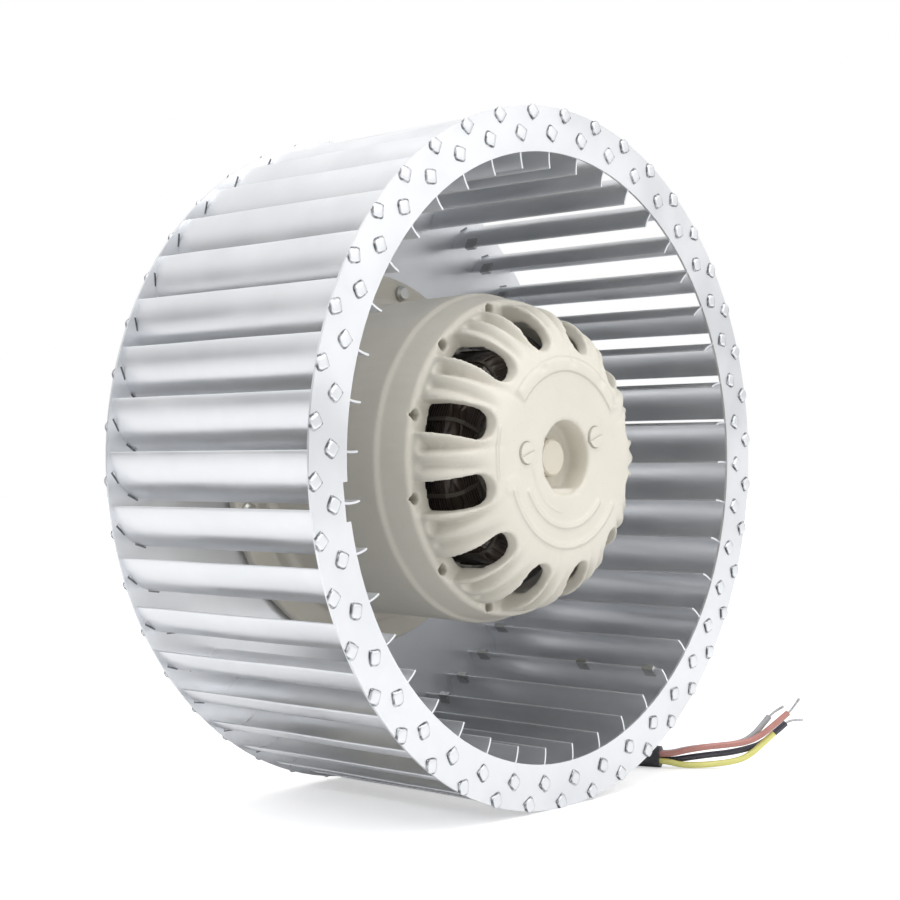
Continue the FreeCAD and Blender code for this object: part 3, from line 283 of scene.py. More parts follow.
def handling():
    """Faint smudges and settled dust that dull a surface."""
    tree, given, out = new_group("handling", ["Place", "Scale"], ["Smudge", "Dust"])
    place, scale = given.outputs["Place"], given.outputs["Scale"]
    large = noise(tree, place, scale, 2.0)
    tree.links.new(remap(tree, large, 0.4, 0.75, 0.0, 1.0), out.inputs["Smudge"])
    specks = noise(tree, place, times(tree, scale, 30.0), 2.0)
    tree.links.new(remap(tree, specks, 0.6, 0.72, 0.0, 1.0), out.inputs["Dust"])
    return tree


def rotor_marks():
    """Marks on the rotor's casting: painted shade in the holes in the ledge, cast bands on the face, painted
    shade in the gaps round the plugs.

    Holes repeat with the vents on a circle of 62 mm radius; they get near black painted shade. Bands are ring
    sectors, given by two radii, two
    angles and a height: a crescent over the top, three thin arcs below and a short one at the left. A dark
    ring of painted shade stands for the gap round each plug at about 4.5 mm from its centre.
    """
    tree, given, out = new_group("rotor_marks", ["Place"], ["Inside", "Height", "Seam"])
    away, turn, y = polar_place(tree, given.outputs["Place"])
    pitch = math.radians(VENT_STEP)
    off = length_of(tree, *near_centre(tree, away, turn, (0.062, pitch / 2), pitch))
    on_ledge = band(tree, y, -0.1069, -0.095, 0.0003)
    # Mask of painted shade in the balance holes of the ledge
    tree.links.new(times(tree, remap(tree, off, 0.0019, 0.0021, 1.0, 0.0), on_ledge), out.inputs["Inside"])
    degrees = math_of(tree, "FLOORED_MODULO", times(tree, turn, 180 / math.pi), 360.0)
    height = None
    for inner, outer, start, end, rise in CAST_BANDS:
        shape = times(tree, band(tree, away, inner * MM, outer * MM, 0.55 * MM),
                      band(tree, degrees, start, end, 2.0))
        shape = times(tree, shape, rise)
        height = shape if height is None else math_of(tree, "MAXIMUM", height, shape)
    front = remap(tree, y, -0.1325, -0.1318, 1.0, 0.0)
    tree.links.new(times(tree, height, front), out.inputs["Height"])
    # Mask of painted shade in the gap round each plug
    rings = []
    for reach, angle in PLUGS:
        off = length_of(tree, *near_centre(tree, away, turn, (reach * MM, math.radians(angle)), 2 * math.pi))
        rings.append(band(tree, off, 0.0042, 0.0047, 0.00015))
    tree.links.new(times(tree, math_of(tree, "MAXIMUM", *rings), front), out.inputs["Seam"])
    return tree


ZINC = zinc_flakes()
TAB_GAP_SHADE = tab_gap_shade()
SKIN = cast_skin()
MARKS = rotor_marks()
HANDLING = handling()


def use_group(tree, group, **inputs):
    """A shared group placed in a material."""
    made = tree.nodes.new("ShaderNodeGroup")
    made.node_tree = group
    for name, value in inputs.items():
        if isinstance(value, bpy.types.NodeSocket):
            tree.links.new(value, made.inputs[name])
        else:
            made.inputs[name].default_value = value
    return made.outputs


def new_material(name):
    """Empty material with its Principled shader, and the object's own coordinates."""
    made = bpy.data.materials.new(name)
    made.use_nodes = True
    tree = made.node_tree
    shader = tree.nodes["Principled BSDF"]
    place = add(tree, "TexCoord").outputs["Object"]
    return made, tree, shader, place


def bump(tree, shader, height, distance, strength, on=None):
    """Fine relief on a shader, over an earlier relief if there is one."""
    made = add(tree, "Bump", {"Height": height, "Distance": distance, "Strength": strength})
    if on is not None:
        tree.links.new(on, made.inputs["Normal"])
    tree.links.new(made.outputs["Normal"], shader.inputs["Normal"])


def galvanised(name, light, dark, rough):
    """Zinc coated sheet, with painted shade as dark lines round the folded tabs and in their slots."""
    made, tree, shader, place = new_material(name)
    zinc = use_group(tree, ZINC, Place=place, Scale=230.0)
    marks = use_group(tree, HANDLING, Place=place, Scale=28.0)
    colour = blend_colours(tree, remap(tree, zinc["Shade"], 0.25, 0.75, 0, 1), dark, light)
    colour = blend_colours(tree, times(tree, marks["Smudge"], 0.2), colour, (0.70, 0.71, 0.73))
    tabs = use_group(tree, TAB_GAP_SHADE, Place=place)
    # Painted shade round the folded tabs and in their slots, near black
    colour = blend_colours(tree, times(tree, tabs["Seam"], 0.85), colour, (0.10, 0.105, 0.115))
    tree.links.new(colour, shader.inputs["Base Color"])
    gloss = remap(tree, zinc["Gloss"], 0.3, 0.7, rough - 0.03, rough + 0.05)
    gloss = plus(tree, gloss, times(tree, marks["Smudge"], 0.05))
    tree.links.new(gloss, shader.inputs["Roughness"])
    shader.inputs["Metallic"].default_value = 0.86
    waves = add(tree, "Bump", {"Height": zinc["Height"], "Distance": 0.0002, "Strength": 0.25})
    bump(tree, shader, tabs["Height"], 0.0003, 0.4, waves.outputs["Normal"])
    return made


def cast_paint(name, light, dark, rough):
    """Cream paint over a sand casting, with painted shade: near black in the drilled balance holes and dark
    round the plugs.
    """
    made, tree, shader, place = new_material(name)
    skin = use_group(tree, SKIN, Place=place, Scale=160.0)
    marks = use_group(tree, HANDLING, Place=place, Scale=35.0)
    colour = blend_colours(tree, skin["Cloud"], light, dark)
    colour = blend_colours(tree, times(tree, skin["Pits"], 0.5), colour, (0.33, 0.31, 0.27))
    colour = blend_colours(tree, times(tree, marks["Smudge"], 0.12), colour, (0.42, 0.39, 0.33))
    cast = use_group(tree, MARKS, Place=place)
    # Painted shade: a dark ring in the gap round each plug and near black in the balance holes
    colour = blend_colours(tree, times(tree, cast["Seam"], 0.6), colour, (0.16, 0.145, 0.12))
    colour = blend_colours(tree, cast["Inside"], colour, (0.015, 0.013, 0.011))
    tree.links.new(colour, shader.inputs["Base Color"])
    gloss = remap(tree, skin["Cloud"], 0.3, 0.7, rough - 0.05, rough + 0.08)
    tree.links.new(gloss, shader.inputs["Roughness"])
    grain = add(tree, "Bump", {"Height": skin["Height"], "Distance": 0.0003, "Strength": 0.4})
    bump(tree, shader, cast["Height"], 0.0008, 0.75, grain.outputs["Normal"])
    return made


def plain_metal(name, light, dark, rough):
    """Turned or drawn metal: fine lines along the axis."""
    made, tree, shader, place = new_material(name)
    drawn = add(tree, "Mapping", {"Vector": place, "Scale": (1.0, 0.06, 1.0)}).outputs[0]
    lines = noise(tree, drawn, 900.0, 3.0, 0.6)
    marks = use_group(tree, HANDLING, Place=place, Scale=60.0)
    tree.links.new(blend_colours(tree, lines, dark, light), shader.inputs["Base Color"])
    gloss = plus(tree, remap(tree, lines, 0.3, 0.7, rough - 0.05, rough + 0.05),
                 times(tree, marks["Smudge"], 0.1))
    tree.links.new(gloss, shader.inputs["Roughness"])
    shader.inputs["Metallic"].default_value = 1.0
    bump(tree, shader, lines, 0.00004, 0.3)
    return made


def laminated(name):
    """Stack of thin sheets seen on edge: a dark joint each millimetre along the axis."""
    made, tree, shader, place = new_material(name)
    wave = add(tree, "TexWave", {"Vector": place, "Scale": 320.0, "Distortion": 0.4, "Detail": 2.0},
               wave_type="BANDS", bands_direction="Y").outputs["Fac"]
    marks = use_group(tree, HANDLING, Place=place, Scale=70.0)
    colour = blend_colours(tree, wave, (0.10, 0.10, 0.11), (0.34, 0.34, 0.36))
    colour = blend_colours(tree, times(tree, marks["Smudge"], 0.4), colour, (0.20, 0.12, 0.07))
    tree.links.new(colour, shader.inputs["Base Color"])
    shader.inputs["Metallic"].default_value = 0.8
    tree.links.new(remap(tree, wave, 0, 1, 0.62, 0.42), shader.inputs["Roughness"])
    bump(tree, shader, wave, 0.0001, 0.5)
    return made


def enamelled(name):
    """Lacquered winding: wire turns that run round the axis, side by side, in very dark colours as painted
    shade, darker still between turns.
    """
    made, tree, shader, place = new_material(name)
    away, _, y = polar_place(tree, place)
    sway = noise(tree, place, 70.0, 2.0)
    across = plus(tree, minus(tree, away, y), times(tree, sway, 0.0035))
    turns = math_of(tree, "ABSOLUTE", math_of(tree, "SINE", times(tree, across, 2400.0)))
    tone = noise(tree, place, 180.0, 3.0, 0.7)
    # Painted shade: the copper's colours are kept very dark for the shade inside the vents, and near black
    # between the turns
    colour = blend_colours(tree, tone, (0.022, 0.016, 0.013), (0.085, 0.06, 0.045))
    colour = blend_colours(tree, remap(tree, turns, 0.0, 0.5, 1.0, 0.0), colour, (0.012, 0.009, 0.008))
    tree.links.new(colour, shader.inputs["Base Color"])
    shader.inputs["Metallic"].default_value = 0.5
    shader.inputs["Coat Weight"].default_value = 0.5
    tree.links.new(remap(tree, tone, 0.3, 0.7, 0.28, 0.42), shader.inputs["Roughness"])
    bump(tree, shader, turns, 0.0004, 0.8)
    return made


def painted_end(name, paint_from):
    """Ground shaft whose front end took the casting's paint, ahead of a level on the axis."""
    made, tree, shader, place = new_material(name)
    along = add(tree, "SeparateXYZ", {0: place}).outputs[1]
    edge = plus(tree, along, times(tree, noise(tree, place, 400.0), 0.0006))
    painted = remap(tree, edge, paint_from, paint_from + 0.0004, 1.0, 0.0)
    skin = use_group(tree, SKIN, Place=place, Scale=160.0)
    cream = blend_colours(tree, skin["Cloud"], (0.64, 0.60, 0.51), (0.60, 0.56, 0.47))
    tree.links.new(blend_colours(tree, painted, (0.60, 0.60, 0.62), cream), shader.inputs["Base Color"])
    tree.links.new(minus(tree, 1.0, painted), shader.inputs["Metallic"])
    tree.links.new(remap(tree, painted, 0, 1, 0.26, 0.45), shader.inputs["Roughness"])
    bump(tree, shader, skin["Height"], 0.0002, 0.3)
    return made


def polymer(name, light, dark, rough, grain=1400.0, coat=0.0, depth=0.00003):
    """Moulded plastic, rubber or cable sheath."""
    made, tree, shader, place = new_material(name)
    fine = noise(tree, place, grain, 3.0, 0.6)
    cloud = noise(tree, place, 90.0, 2.0)
    marks = use_group(tree, HANDLING, Place=place, Scale=90.0)
    colour = blend_colours(tree, cloud, dark, light)
    colour = blend_colours(tree, times(tree, marks["Dust"], 0.12), colour, (0.6, 0.6, 0.6))
    tree.links.new(colour, shader.inputs["Base Color"])
    gloss = plus(tree, remap(tree, fine, 0.3, 0.7, rough - 0.05, rough + 0.06),
                 times(tree, marks["Smudge"], 0.08))
    tree.links.new(gloss, shader.inputs["Roughness"])
    shader.inputs["Coat Weight"].default_value = coat
    bump(tree, shader, fine, depth, 0.5)
    return made


GALVANISED = galvanised("galvanised_sheet", (0.80, 0.81, 0.83), (0.725, 0.74, 0.765), 0.31)
PAINT = cast_paint("cream_casting_paint", (0.655, 0.625, 0.55), (0.615, 0.585, 0.51), 0.42)
SCREW_ZINC = plain_metal("screw_zinc", (0.72, 0.72, 0.68), (0.52, 0.52, 0.50), 0.32)
SPRING_STEEL = plain_metal("spring_steel", (0.60, 0.61, 0.60), (0.40, 0.41, 0.41), 0.30)
BEARING_STEEL = plain_metal("bearing_steel", (0.80, 0.80, 0.82), (0.70, 0.70, 0.72), 0.14)
SHAFT_STEEL = painted_end("ground_steel", -0.1232)
CORE_STEEL = laminated("core_sheets")
CAGE = plain_metal("cage_aluminium", (0.80, 0.81, 0.83), (0.66, 0.67, 0.70), 0.42)
SHADED_COPPER = enamelled("enamelled_copper_in_shade")
FILM = polymer("slot_film", (0.86, 0.85, 0.79), (0.78, 0.77, 0.70), 0.55)
LACING = polymer("lacing_cord", (0.14, 0.125, 0.105), (0.085, 0.075, 0.065), 0.8, 2500.0, depth=0.0001)
PROTECTOR = polymer("protector_case", (0.10, 0.10, 0.11), (0.06, 0.06, 0.07), 0.45)
RUBBER = polymer("gland_rubber", (0.045, 0.045, 0.05), (0.025, 0.025, 0.03), 0.6)
BLACK_PLASTIC = polymer("black_plastic", (0.06, 0.06, 0.065), (0.035, 0.035, 0.04), 0.5)
SHEATH = polymer("cable_sheath", (0.05, 0.05, 0.058), (0.03, 0.03, 0.036), 0.42)
YELLOW = polymer("yellow_insulation", (0.74, 0.72, 0.24), (0.64, 0.62, 0.18), 0.3, coat=0.3)
BLACK = polymer("black_insulation", (0.06, 0.06, 0.085), (0.035, 0.035, 0.05), 0.3, coat=0.3)
BROWN = polymer("brown_insulation", (0.50, 0.235, 0.20), (0.42, 0.18, 0.155), 0.3, coat=0.3)
GREY = polymer("grey_insulation", (0.42, 0.42, 0.44), (0.34, 0.34, 0.36), 0.3, coat=0.3)
TINNED = plain_metal("tinned_strands", (0.74, 0.74, 0.75), (0.56, 0.56, 0.58), 0.3)

FINISHES = {
    "galvanised_steel": GALVANISED, "cast_paint": PAINT, "zinc_screw": SCREW_ZINC,
    "spring_steel": SPRING_STEEL, "bearing_steel": BEARING_STEEL, "shaft_steel": SHAFT_STEEL,
    "core_steel": CORE_STEEL, "cage_aluminium": CAGE, "winding_copper": SHADED_COPPER,
    "insulation_film": FILM, "lacing_cord": LACING, "protector_case": PROTECTOR,
    "black_rubber": RUBBER, "black_plastic": BLACK_PLASTIC, "sheath_pvc": SHEATH,
    "yellow_pvc": YELLOW, "black_pvc": BLACK, "brown_pvc": BROWN, "grey_pvc": GREY,
    "tinned_copper": TINNED,
}


def dress_frame():
    """Every node of the part gets the material of its slot in the record."""
    for entry in frame["record"]["subparts"]:
        mesh = nodes[entry["node"]].data
        mesh.materials.clear()
        mesh.materials.append(FINISHES[entry["material_slot"]])


dress_frame()

# Rotor casting: the solid's own form with the soft edges of a sand casting


def merged_copy(node, name):
    """New object with a node's mesh, its loose triangles joined and its normals outward."""
    mesh = nodes[node].data.copy()
    made = new_object(name, mesh)
    form = bmesh.new()
    form.from_mesh(mesh)
    bmesh.ops.remove_doubles(form, verts=form.verts, dist=2e-6)
    bmesh.ops.recalc_face_normals(form, faces=form.faces)
    form.to_mesh(mesh)
    form.free()
    return made


def apply_modifiers(made):
    """Give an object the mesh that its modifiers make, and take them away."""
    view = bpy.context.evaluated_depsgraph_get()
    mesh = bpy.data.meshes.new_from_object(made.evaluated_get(view))
    made.modifiers.clear()
    made.data = mesh


def soften(made, voxel, flatness, rounds):
    """Remesh a closed piece into small even faces and smooth it, so that every edge is a small round."""
    cut = made.modifiers.new("voxels", "REMESH")
    cut.mode = "VOXEL"
    cut.voxel_size = voxel
    cut.adaptivity = flatness
    ease = made.modifiers.new("rounds", "SMOOTH")
    ease.factor = 0.5
    ease.iterations = rounds
    apply_modifiers(made)
    mesh = made.data
    mesh.polygons.foreach_set("use_smooth", np.ones(len(mesh.polygons), dtype=bool))
    mesh.materials.clear()
    mesh.materials.append(PAINT)


def thin_out(made, most):
    """Join small faces where the form is nearly flat, down to a number of triangles."""
    made.data.calc_loop_triangles()
    join = made.modifiers.new("thin_out", "DECIMATE")
    join.ratio = min(1.0, most / len(made.data.loop_triangles))
    apply_modifiers(made)


def smooth_step(value, low, high):
    """0 below one limit, 1 above the other and a smooth rise between them."""
    t = np.clip((value - low) / (high - low), 0, 1)
    return t * t * (3 - 2 * t)


def press_flutes(made):
    """Press two long soft flutes, with a ridge between them, into each block between the rotor's vents.

    In the half section the dome is an arc of 27 mm about its middle c. With a the distance aside from a
    block's middle, w the angle up the arc and s the smooth step, a point moves towards c by
    1.9 mm * exp(-((|a| - 3.9) / 1.5)^2) * s(w, 3, 10) * (1 - s(w, 46, 76)). The ridge at a = 0 and the lips
    beside the vents stand up by 0.4 mm.
    """
    spots = np.empty(len(made.data.vertices) * 3)
    made.data.vertices.foreach_get("co", spots)
    spots = spots.reshape(-1, 3) / MM
    away = np.hypot(spots[:, 0], spots[:, 2])
    step = math.radians(VENT_STEP)
    off = (np.arctan2(spots[:, 2], spots[:, 0]) + step / 2) % step - step / 2
    aside = np.abs(away * np.sin(off))
    out, up = away - DOME_OUT, -spots[:, 1] - DOME_HIGH
    reach = np.hypot(out, up)
    angle = np.degrees(np.arctan2(up, out))
    on_dome = (reach > 23.2) & (reach < 28.2) & (out > 0)
    along = smooth_step(angle, 3, 10) * (1 - smooth_step(angle, 46, 76)) * on_dome
    press = 1.9 * np.exp(-((aside - 3.9) / 1.5) ** 2) - 0.4 * np.exp(-(aside / 1.2) ** 2)
    press = press - 0.4 * np.exp(-((aside - 8.2) / 1.3) ** 2)
    move = np.where(along > 0, press * along, 0.0)
    shrink = 1 - move / np.maximum(reach, 1.0)
    new_away = DOME_OUT + out * shrink
    scale = np.where(away > 1, new_away / np.maximum(away, 1), 1.0)
    spots[:, 0] *= scale
    spots[:, 2] *= scale
    spots[:, 1] = -(DOME_HIGH + up * shrink)
    made.data.vertices.foreach_set("co", (spots * MM).ravel())
    made.data.update()


def cast_rotor():
    """The rotor's casting, with its vents, flutes and ledge rounded over."""
    casting = merged_copy("rotor_shell", "rotor_casting")
    soften(casting, CAST_VOXEL, CAST_FLATNESS, CAST_ROUNDS)
    press_flutes(casting)
    thin_out(casting, CAST_TRIANGLES)
    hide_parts("rotor_shell")
    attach(casting, "wheel")


cast_rotor()

# Blades: smooth strips with folded tabs, in the wheel's seven sectors of six. Lengths in millimetres


def lofted(outlines):
    """Closed skin through equal outlines (stations, points, 3), each counterclockwise, and two end faces."""
    stations, count = outlines.shape[:2]
    at = np.arange(count)
    after = np.roll(at, -1)
    low = np.arange(stations - 1)[:, None] * count
    sides = np.stack([low + at, low + after, low + count + after, low + count + at], axis=-1).reshape(-1, 4)
    ends = [at[::-1].tolist(), (at + (stations - 1) * count).tolist()]
    return outlines.reshape(-1, 3), sides.tolist() + ends


def strip_skin(bow):
    """Blade's strip between the discs: an arc with half round edges, carried along the axis.

    The section is (c + r cos t, r sin t), with t from 0 to 108 degrees and r = 18 -+ 0.4. Its free outer edge
    bows out of true by bow * sin(pi s) * sin(2 pi s + 40 bow) * cos(t * 90 / 108)^2, with s the share of the
    length.
    """
    turn = np.radians(np.linspace(0.0, ARC_END, 37))
    edge = np.radians([36.0, 72.0, 108.0, 144.0])
    one, none, round_end = np.ones_like(turn), np.zeros_like(turn), np.ones_like(edge)
    angles = np.concatenate([turn, turn[-1] * round_end, turn[::-1], turn[0] * round_end])
    across = HALF_METAL * np.concatenate([one, np.cos(edge), -one, -np.cos(edge)])
    along = HALF_METAL * np.concatenate([none, np.sin(edge), none, -np.sin(edge)])
    share = np.concatenate([[0.0], np.linspace(0.02, 0.98, 15), [1.0]])[:, None]
    sway = bow * np.sin(np.pi * share) * np.sin(2 * np.pi * share + 40 * bow)
    radius = ARC_RADIUS + across + sway * np.cos(angles * 90 / ARC_END) ** 2
    u = ARC_CENTRE + radius * np.cos(angles) - along * np.sin(angles)
    v = radius * np.sin(angles) + along * np.cos(angles)
    height = np.broadcast_to(PLATE_FACE + (RING_BACK - PLATE_FACE) * share, u.shape)
    return lofted(np.stack([u, v, height], axis=-1))


def tab_skins(turn, lean):
    """Stem through each disc and a flap folded on it: a plan with a round end, 5.3 by 5 mm, domed on top.

    The plan's offsets (a along the lean, b across it) shrink to 95, 82 and 60 parts in 100 about the flap's
    middle while the height over the disc grows from 0.55 to 0.70, 0.78 and 0.8 mm.
    """
    turn, lean = math.radians(turn), math.radians(lean)
    spot = np.array([ARC_CENTRE + ARC_RADIUS * math.cos(turn), ARC_RADIUS * math.sin(turn)])
    axes = np.array([[math.cos(lean), math.sin(lean)], [-math.sin(lean), math.cos(lean)]])
    corner = np.radians(np.linspace(0.0, 90.0, 5))
    plan = np.concatenate([
        np.stack([2.85 + 2 * np.cos(corner - np.pi / 2), -0.48 + 2 * np.sin(corner - np.pi / 2)], 1),
        np.stack([2.85 + 2 * np.cos(corner), 0.48 + 2 * np.sin(corner)], 1),
        [[0.0, 2.5], [-0.3, 2.4], [-0.4, 2.1], [-0.4, -2.1], [-0.3, -2.4], [0.0, -2.5]]])
    middle = np.array([FLAP_MIDDLE, 0.0])
    size = np.array([1.0, 1.0, 0.95, 0.82, 0.6])[:, None, None]
    rise = np.array([-0.1, 0.55, 0.70, 0.78, 0.8])[:, None]
    flat = (middle + (plan - middle) * size) @ axes + spot
    thick = HALF_METAL
    stem = np.array([[-thick, -2.5], [thick, -2.5], [thick, 2.5], [-thick, 2.5]]) @ axes + spot

    def carried(outlines, heights):
        """Skin through flat outlines, each lifted to its height over the mounting face."""
        heights = np.broadcast_to(heights, outlines.shape[:2])[..., None]
        return lofted(np.concatenate([outlines, heights], axis=-1))

    stems = np.stack([stem, stem])
    return [carried(flat, RING_FACE + rise), carried(flat[::-1], REAR_FACE - rise[::-1]),
            carried(stems, np.array([[RING_BACK - 0.3], [RING_FACE + 0.2]])),
            carried(stems, np.array([[REAR_FACE - 0.2], [PLATE_FACE + 0.3]]))]


def turned_points(points, degrees):
    """Points (out, round, height over the mounting face) turned about the axis, in the frame's metres."""
    turn = math.radians(degrees)
    x = points[:, 0] * math.cos(turn) - points[:, 1] * math.sin(turn)
    z = points[:, 0] * math.sin(turn) + points[:, 1] * math.cos(turn)
    return np.stack([x, -points[:, 2], z], axis=-1) * MM


def form_blades():
    """A piece of six blades for each sector of the wheel, with a bow of its own in each blade's free edge."""
    rng = np.random.default_rng(BOW_SEED)
    bows = rng.uniform(BOW_LEAST, BOW_MOST, BLADES) * rng.choice([-1.0, 1.0], BLADES)
    tabs = [skin for row in TAB_ROWS for skin in tab_skins(*row)]
    for sector in range(SECTORS):
        points, faces = [], []
        for blade in range(SECTOR_BLADES * sector, SECTOR_BLADES * (sector + 1)):
            for skin_points, skin_faces in [strip_skin(bows[blade])] + tabs:
                start = sum(len(part) for part in points)
                points.append(turned_points(skin_points, FIRST_BLADE + blade * 360 / BLADES))
                faces += [[start + corner for corner in face] for face in skin_faces]
        mesh = bpy.data.meshes.new(f"blade_strips_{sector + 1}")
        mesh.from_pydata(np.concatenate(points).tolist(), [], faces)
        mesh.materials.append(GALVANISED)
        mesh.shade_smooth()
        mesh.set_sharp_from_angle(angle=math.radians(FOLD_ANGLE))
        made = new_object(mesh.name, mesh)
        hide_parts(f"blades_{sector + 1}")
        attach(made, "wheel")


form_blades()

# Cable and conductors: smooth splines with the route's points as control points. Places in millimetres

CABLE = [(0.0, -7.6, -56.0), (0.0, -7.6, -96.0), (9.0, 17.0, -126.0), (32.0, 46.0, -135.15),
         (67.0, 57.0, -135.15), (101.0, 44.0, -135.15), (121.0, 14.0, -135.15), (119.0, -23.0, -135.15),
         (94.0, -55.0, -135.15), (91.0, -87.0, -135.15), (100.0, -111.4, -135.15)]
CONDUCTORS = {
    "conductor_yellow": ((1, -1), [(99.9, -115.7, -136.8), (102.7, -120.5, -138.2), (107.7, -127.9, -138.0),
                                   (114.1, -135.9, -137.0), (119.0, -141.8, -135.4), (122.6, -145.3, -132.6),
                                   (126.3, -148.8, -128.1), (129.9, -152.3, -123.7)]),
    "conductor_black": ((-1, -1), [(102.9, -114.6, -136.8), (106.9, -121.4, -135.3), (112.2, -128.7, -133.9),
                                   (118.4, -136.4, -132.8), (124.3, -143.2, -130.7), (128.7, -146.7, -128.8),
                                   (132.8, -150.5, -124.4), (136.7, -154.4, -119.7)]),
    "conductor_brown": ((1, 1), [(99.9, -115.7, -133.6), (103.8, -122.4, -131.4), (109.4, -130.5, -129.6),
                                 (115.6, -138.2, -128.6), (120.4, -144.0, -127.5), (124.4, -148.9, -124.5),
                                 (128.3, -153.5, -119.5), (132.3, -158.3, -114.1)]),
    "conductor_grey": ((-1, 1), [(102.9, -114.6, -133.6), (106.4, -120.7, -131.5), (112.3, -128.6, -130.2),
                                 (118.7, -136.2, -129.3), (122.9, -141.0, -127.8), (126.2, -144.7, -124.3),
                                 (128.4, -147.0, -120.4), (130.7, -149.5, -116.4)]),
}
SHEATH_RADIUS, CORE_RADIUS, CORE_OFFSET = 4.85, 1.4, 1.6
STRAND_TIPS = {"conductor_black": (141.7, -160.3, -118.2), "conductor_brown": (135.6, -162.0, -107.6),
               "conductor_grey": (135.0, -154.4, -111.9)}


def spline_tube(name, points, radius, material):
    """Round tube along the spline that the control points, in millimetres, define."""
    curve = bpy.data.curves.new(name, "CURVE")
    curve.dimensions = "3D"
    spline = curve.splines.new("NURBS")
    spline.points.add(len(points) - 1)
    flat = np.ones((len(points), 4))
    flat[:, :3] = np.array(points) * MM
    spline.points.foreach_set("co", flat.ravel())
    spline.order_u = 3
    spline.use_endpoint_u = True
    curve.resolution_u = 10
    curve.bevel_depth = radius * MM
    curve.bevel_resolution = 6
    curve.use_fill_caps = True
    curve.materials.append(material)
    return new_object(name, curve)


def twisted_strands(name, foot, before, tip):
    """Seven bare wires twisted round a bent line from a conductor's cut end to a tip, all in millimetres.

    The line is the smooth curve (1-t)^2 foot + 2t(1-t) knee + t^2 tip. Six wires run round the seventh at
    0.42 mm, at the angle 2 pi (k / 6 + 1.1 t), and spread a little at the tip. Each is a tube of radius
    0.21 mm, as rings of six points joined by quads.
    """
    wires, stations, sides = 7, 25, 6
    foot, before, tip = np.array(foot), np.array(before), np.array(tip)
    knee = foot + (foot - before) / np.linalg.norm(foot - before) * 2.5
    t = np.linspace(0.0, 1.0, stations)[:, None]
    line = (1 - t) ** 2 * foot + 2 * t * (1 - t) * knee + t ** 2 * tip
    ahead = np.gradient(line, axis=0)
    ahead = ahead / np.linalg.norm(ahead, axis=1, keepdims=True)
    aside = np.cross(ahead, (0.0, 0.0, 1.0))
    aside = aside / np.linalg.norm(aside, axis=1, keepdims=True)
    above = np.cross(aside, ahead)
    wire = np.arange(wires)[:, None, None]
    turn = 2 * np.pi * (wire / 6 + 1.1 * t[None])
    reach = np.where(wire == wires - 1, 0.0, 0.42 * (1 + 0.5 * t[None] ** 3))
    middle = line[None] + reach * (np.cos(turn) * aside[None] + np.sin(turn) * above[None])
    around = np.linspace(0, 2 * np.pi, sides, endpoint=False)[None, None, :, None]
    outward = np.cos(around) * aside[None, :, None] + np.sin(around) * above[None, :, None]
    rings = middle[:, :, None] + 0.21 * outward
    count = np.arange(wires * stations * sides).reshape(wires, stations, sides)
    after = np.roll(count, -1, axis=2)
    quads = np.stack([count[:, :-1], count[:, 1:], after[:, 1:], after[:, :-1]], axis=-1).reshape(-1, 4)
    caps = np.concatenate([count[:, 0], count[:, -1, ::-1]])
    mesh = bpy.data.meshes.new(name)
    mesh.from_pydata((rings.reshape(-1, 3) * MM).tolist(), [], quads.tolist() + caps.tolist())
    form = bmesh.new()
    form.from_mesh(mesh)
    bmesh.ops.recalc_face_normals(form, faces=form.faces)
    form.to_mesh(mesh)
    form.free()
    mesh.polygons.foreach_set("use_smooth", np.ones(len(mesh.polygons), dtype=bool))
    mesh.materials.append(TINNED)
    made = new_object(name, mesh)
    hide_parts("wire_ends")
    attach(made, "motor_mount")
    return made


def lay_cable():
    """Sheathed cable on the floor and the stripped conductors that stand up from its end."""
    fixed = "motor_mount"
    sheath = spline_tube("cable_sheath", CABLE, SHEATH_RADIUS, SHEATH)
    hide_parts("supply_cable")
    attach(sheath, fixed)
    end = np.array(CABLE[-1])
    ahead = end - np.array(CABLE[-2])
    ahead = ahead / np.linalg.norm(ahead)
    side = np.cross(ahead, (0, 0, 1))
    for name, (offset, route) in CONDUCTORS.items():
        start = end + side * CORE_OFFSET * offset[0] + np.array((0, 0, CORE_OFFSET * offset[1]))
        colour = name.split("_")[1]
        slot = colour + "_pvc"
        core = spline_tube("core_" + colour, [tuple(start)] + route, CORE_RADIUS, FINISHES[slot])
        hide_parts(name)
        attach(core, fixed)
        bare = []
        if name in STRAND_TIPS:
            bare = [twisted_strands("strands_" + colour, route[-1], route[-2], STRAND_TIPS[name])]


lay_cable()

# Stage


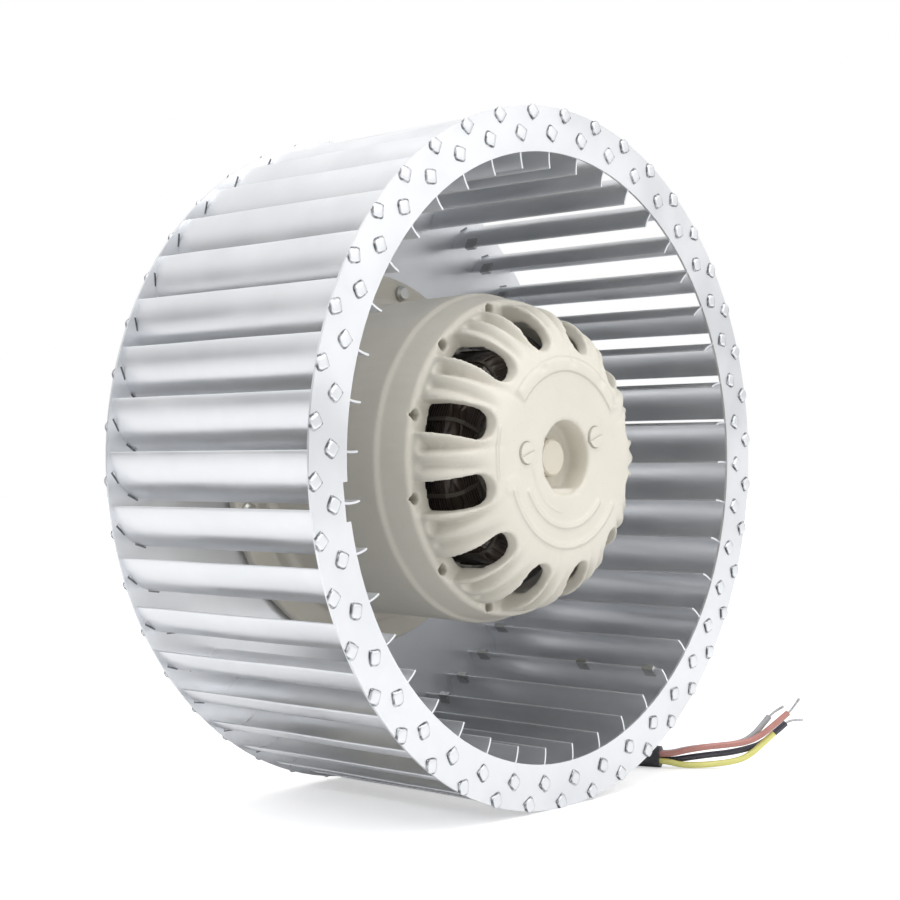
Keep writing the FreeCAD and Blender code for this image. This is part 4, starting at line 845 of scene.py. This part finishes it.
def stage_floor():
    """Pale floor: lit as it is, with a little white added for the camera so that it meets the backdrop."""
    mesh = bpy.data.meshes.new("floor")
    corners = [(x * FLOOR_REACH, y * FLOOR_REACH, FLOOR) for x, y in ((-1, -1), (1, -1), (1, 1), (-1, 1))]
    mesh.from_pydata(corners, [], [(0, 1, 2, 3)])
    floor = new_object("floor", mesh)
    made = bpy.data.materials.new("pale_floor")
    made.use_nodes = True
    tree = made.node_tree
    shader = tree.nodes["Principled BSDF"]
    shader.inputs["Base Color"].default_value = (0.86, 0.86, 0.865, 1)
    shader.inputs["Roughness"].default_value = 0.6
    shader.inputs["Emission Color"].default_value = (1, 1, 1, 1)
    seen = add(tree, "LightPath").outputs["Is Camera Ray"]
    place = add(tree, "TexCoord").outputs["Object"]
    away = add(tree, "VectorMath", {0: place}, operation="LENGTH").outputs["Value"]
    lift = remap(tree, away, 0.2, 1.1, 0.42, 1.0)
    tree.links.new(times(tree, seen, lift), shader.inputs["Emission Strength"])
    mesh.materials.append(made)


def studio_world():
    """Grey room light that is stronger from above, and plain white where the camera looks past the floor."""
    world = bpy.data.worlds.new("studio")
    bpy.context.scene.world = world
    world.use_nodes = True
    tree = world.node_tree
    tree.nodes.clear()
    path = add(tree, "LightPath")
    seen = math_of(tree, "MAXIMUM", path.outputs["Is Camera Ray"], path.outputs["Is Transmission Ray"])
    up = add(tree, "SeparateXYZ", {0: add(tree, "TexCoord").outputs["Generated"]}).outputs[2]
    strength = add(tree, "Mix", data_type="FLOAT")
    tree.links.new(seen, strength.inputs[0])
    tree.links.new(remap(tree, up, -0.06, 0.5, 0.30, 0.96), strength.inputs[2])
    strength.inputs[3].default_value = 1.0
    back = add(tree, "Background", {"Color": (1, 1, 1, 1), "Strength": strength.outputs[0]})
    out = tree.nodes.new("ShaderNodeOutputWorld")
    tree.links.new(back.outputs[0], out.inputs["Surface"])


def softbox(name, place, target, size, power):
    """Rectangular lamp aimed at a point."""
    data = bpy.data.lights.new(name, "AREA")
    data.shape = "RECTANGLE"
    data.size, data.size_y = size
    data.energy = power
    lamp = new_object(name, data)
    aim = (Vector(target) - Vector(place)).to_track_quat("-Z", "Y")
    lamp.matrix_world = Matrix.Translation(place) @ aim.to_matrix().to_4x4()


stage_floor()
studio_world()
softbox("top_light", (-0.15, -0.25, 1.1), (0.0, -0.05, 0.0), (1.2, 1.2), 10.0)
softbox("front_light", (0.35, -1.2, 0.55), (0.0, -0.1, 0.0), (0.9, 0.7), 3.6)
softbox("right_light", (1.05, -0.78, 0.15), (0.0, -0.1, 0.0), (1.2, 0.9), 1.25)
softbox("side_light", (-1.15, -0.1, 0.35), (0.0, 0.0, 0.0), (0.8, 0.8), 2.0)

bpy.context.scene.view_settings.view_transform = "Standard"
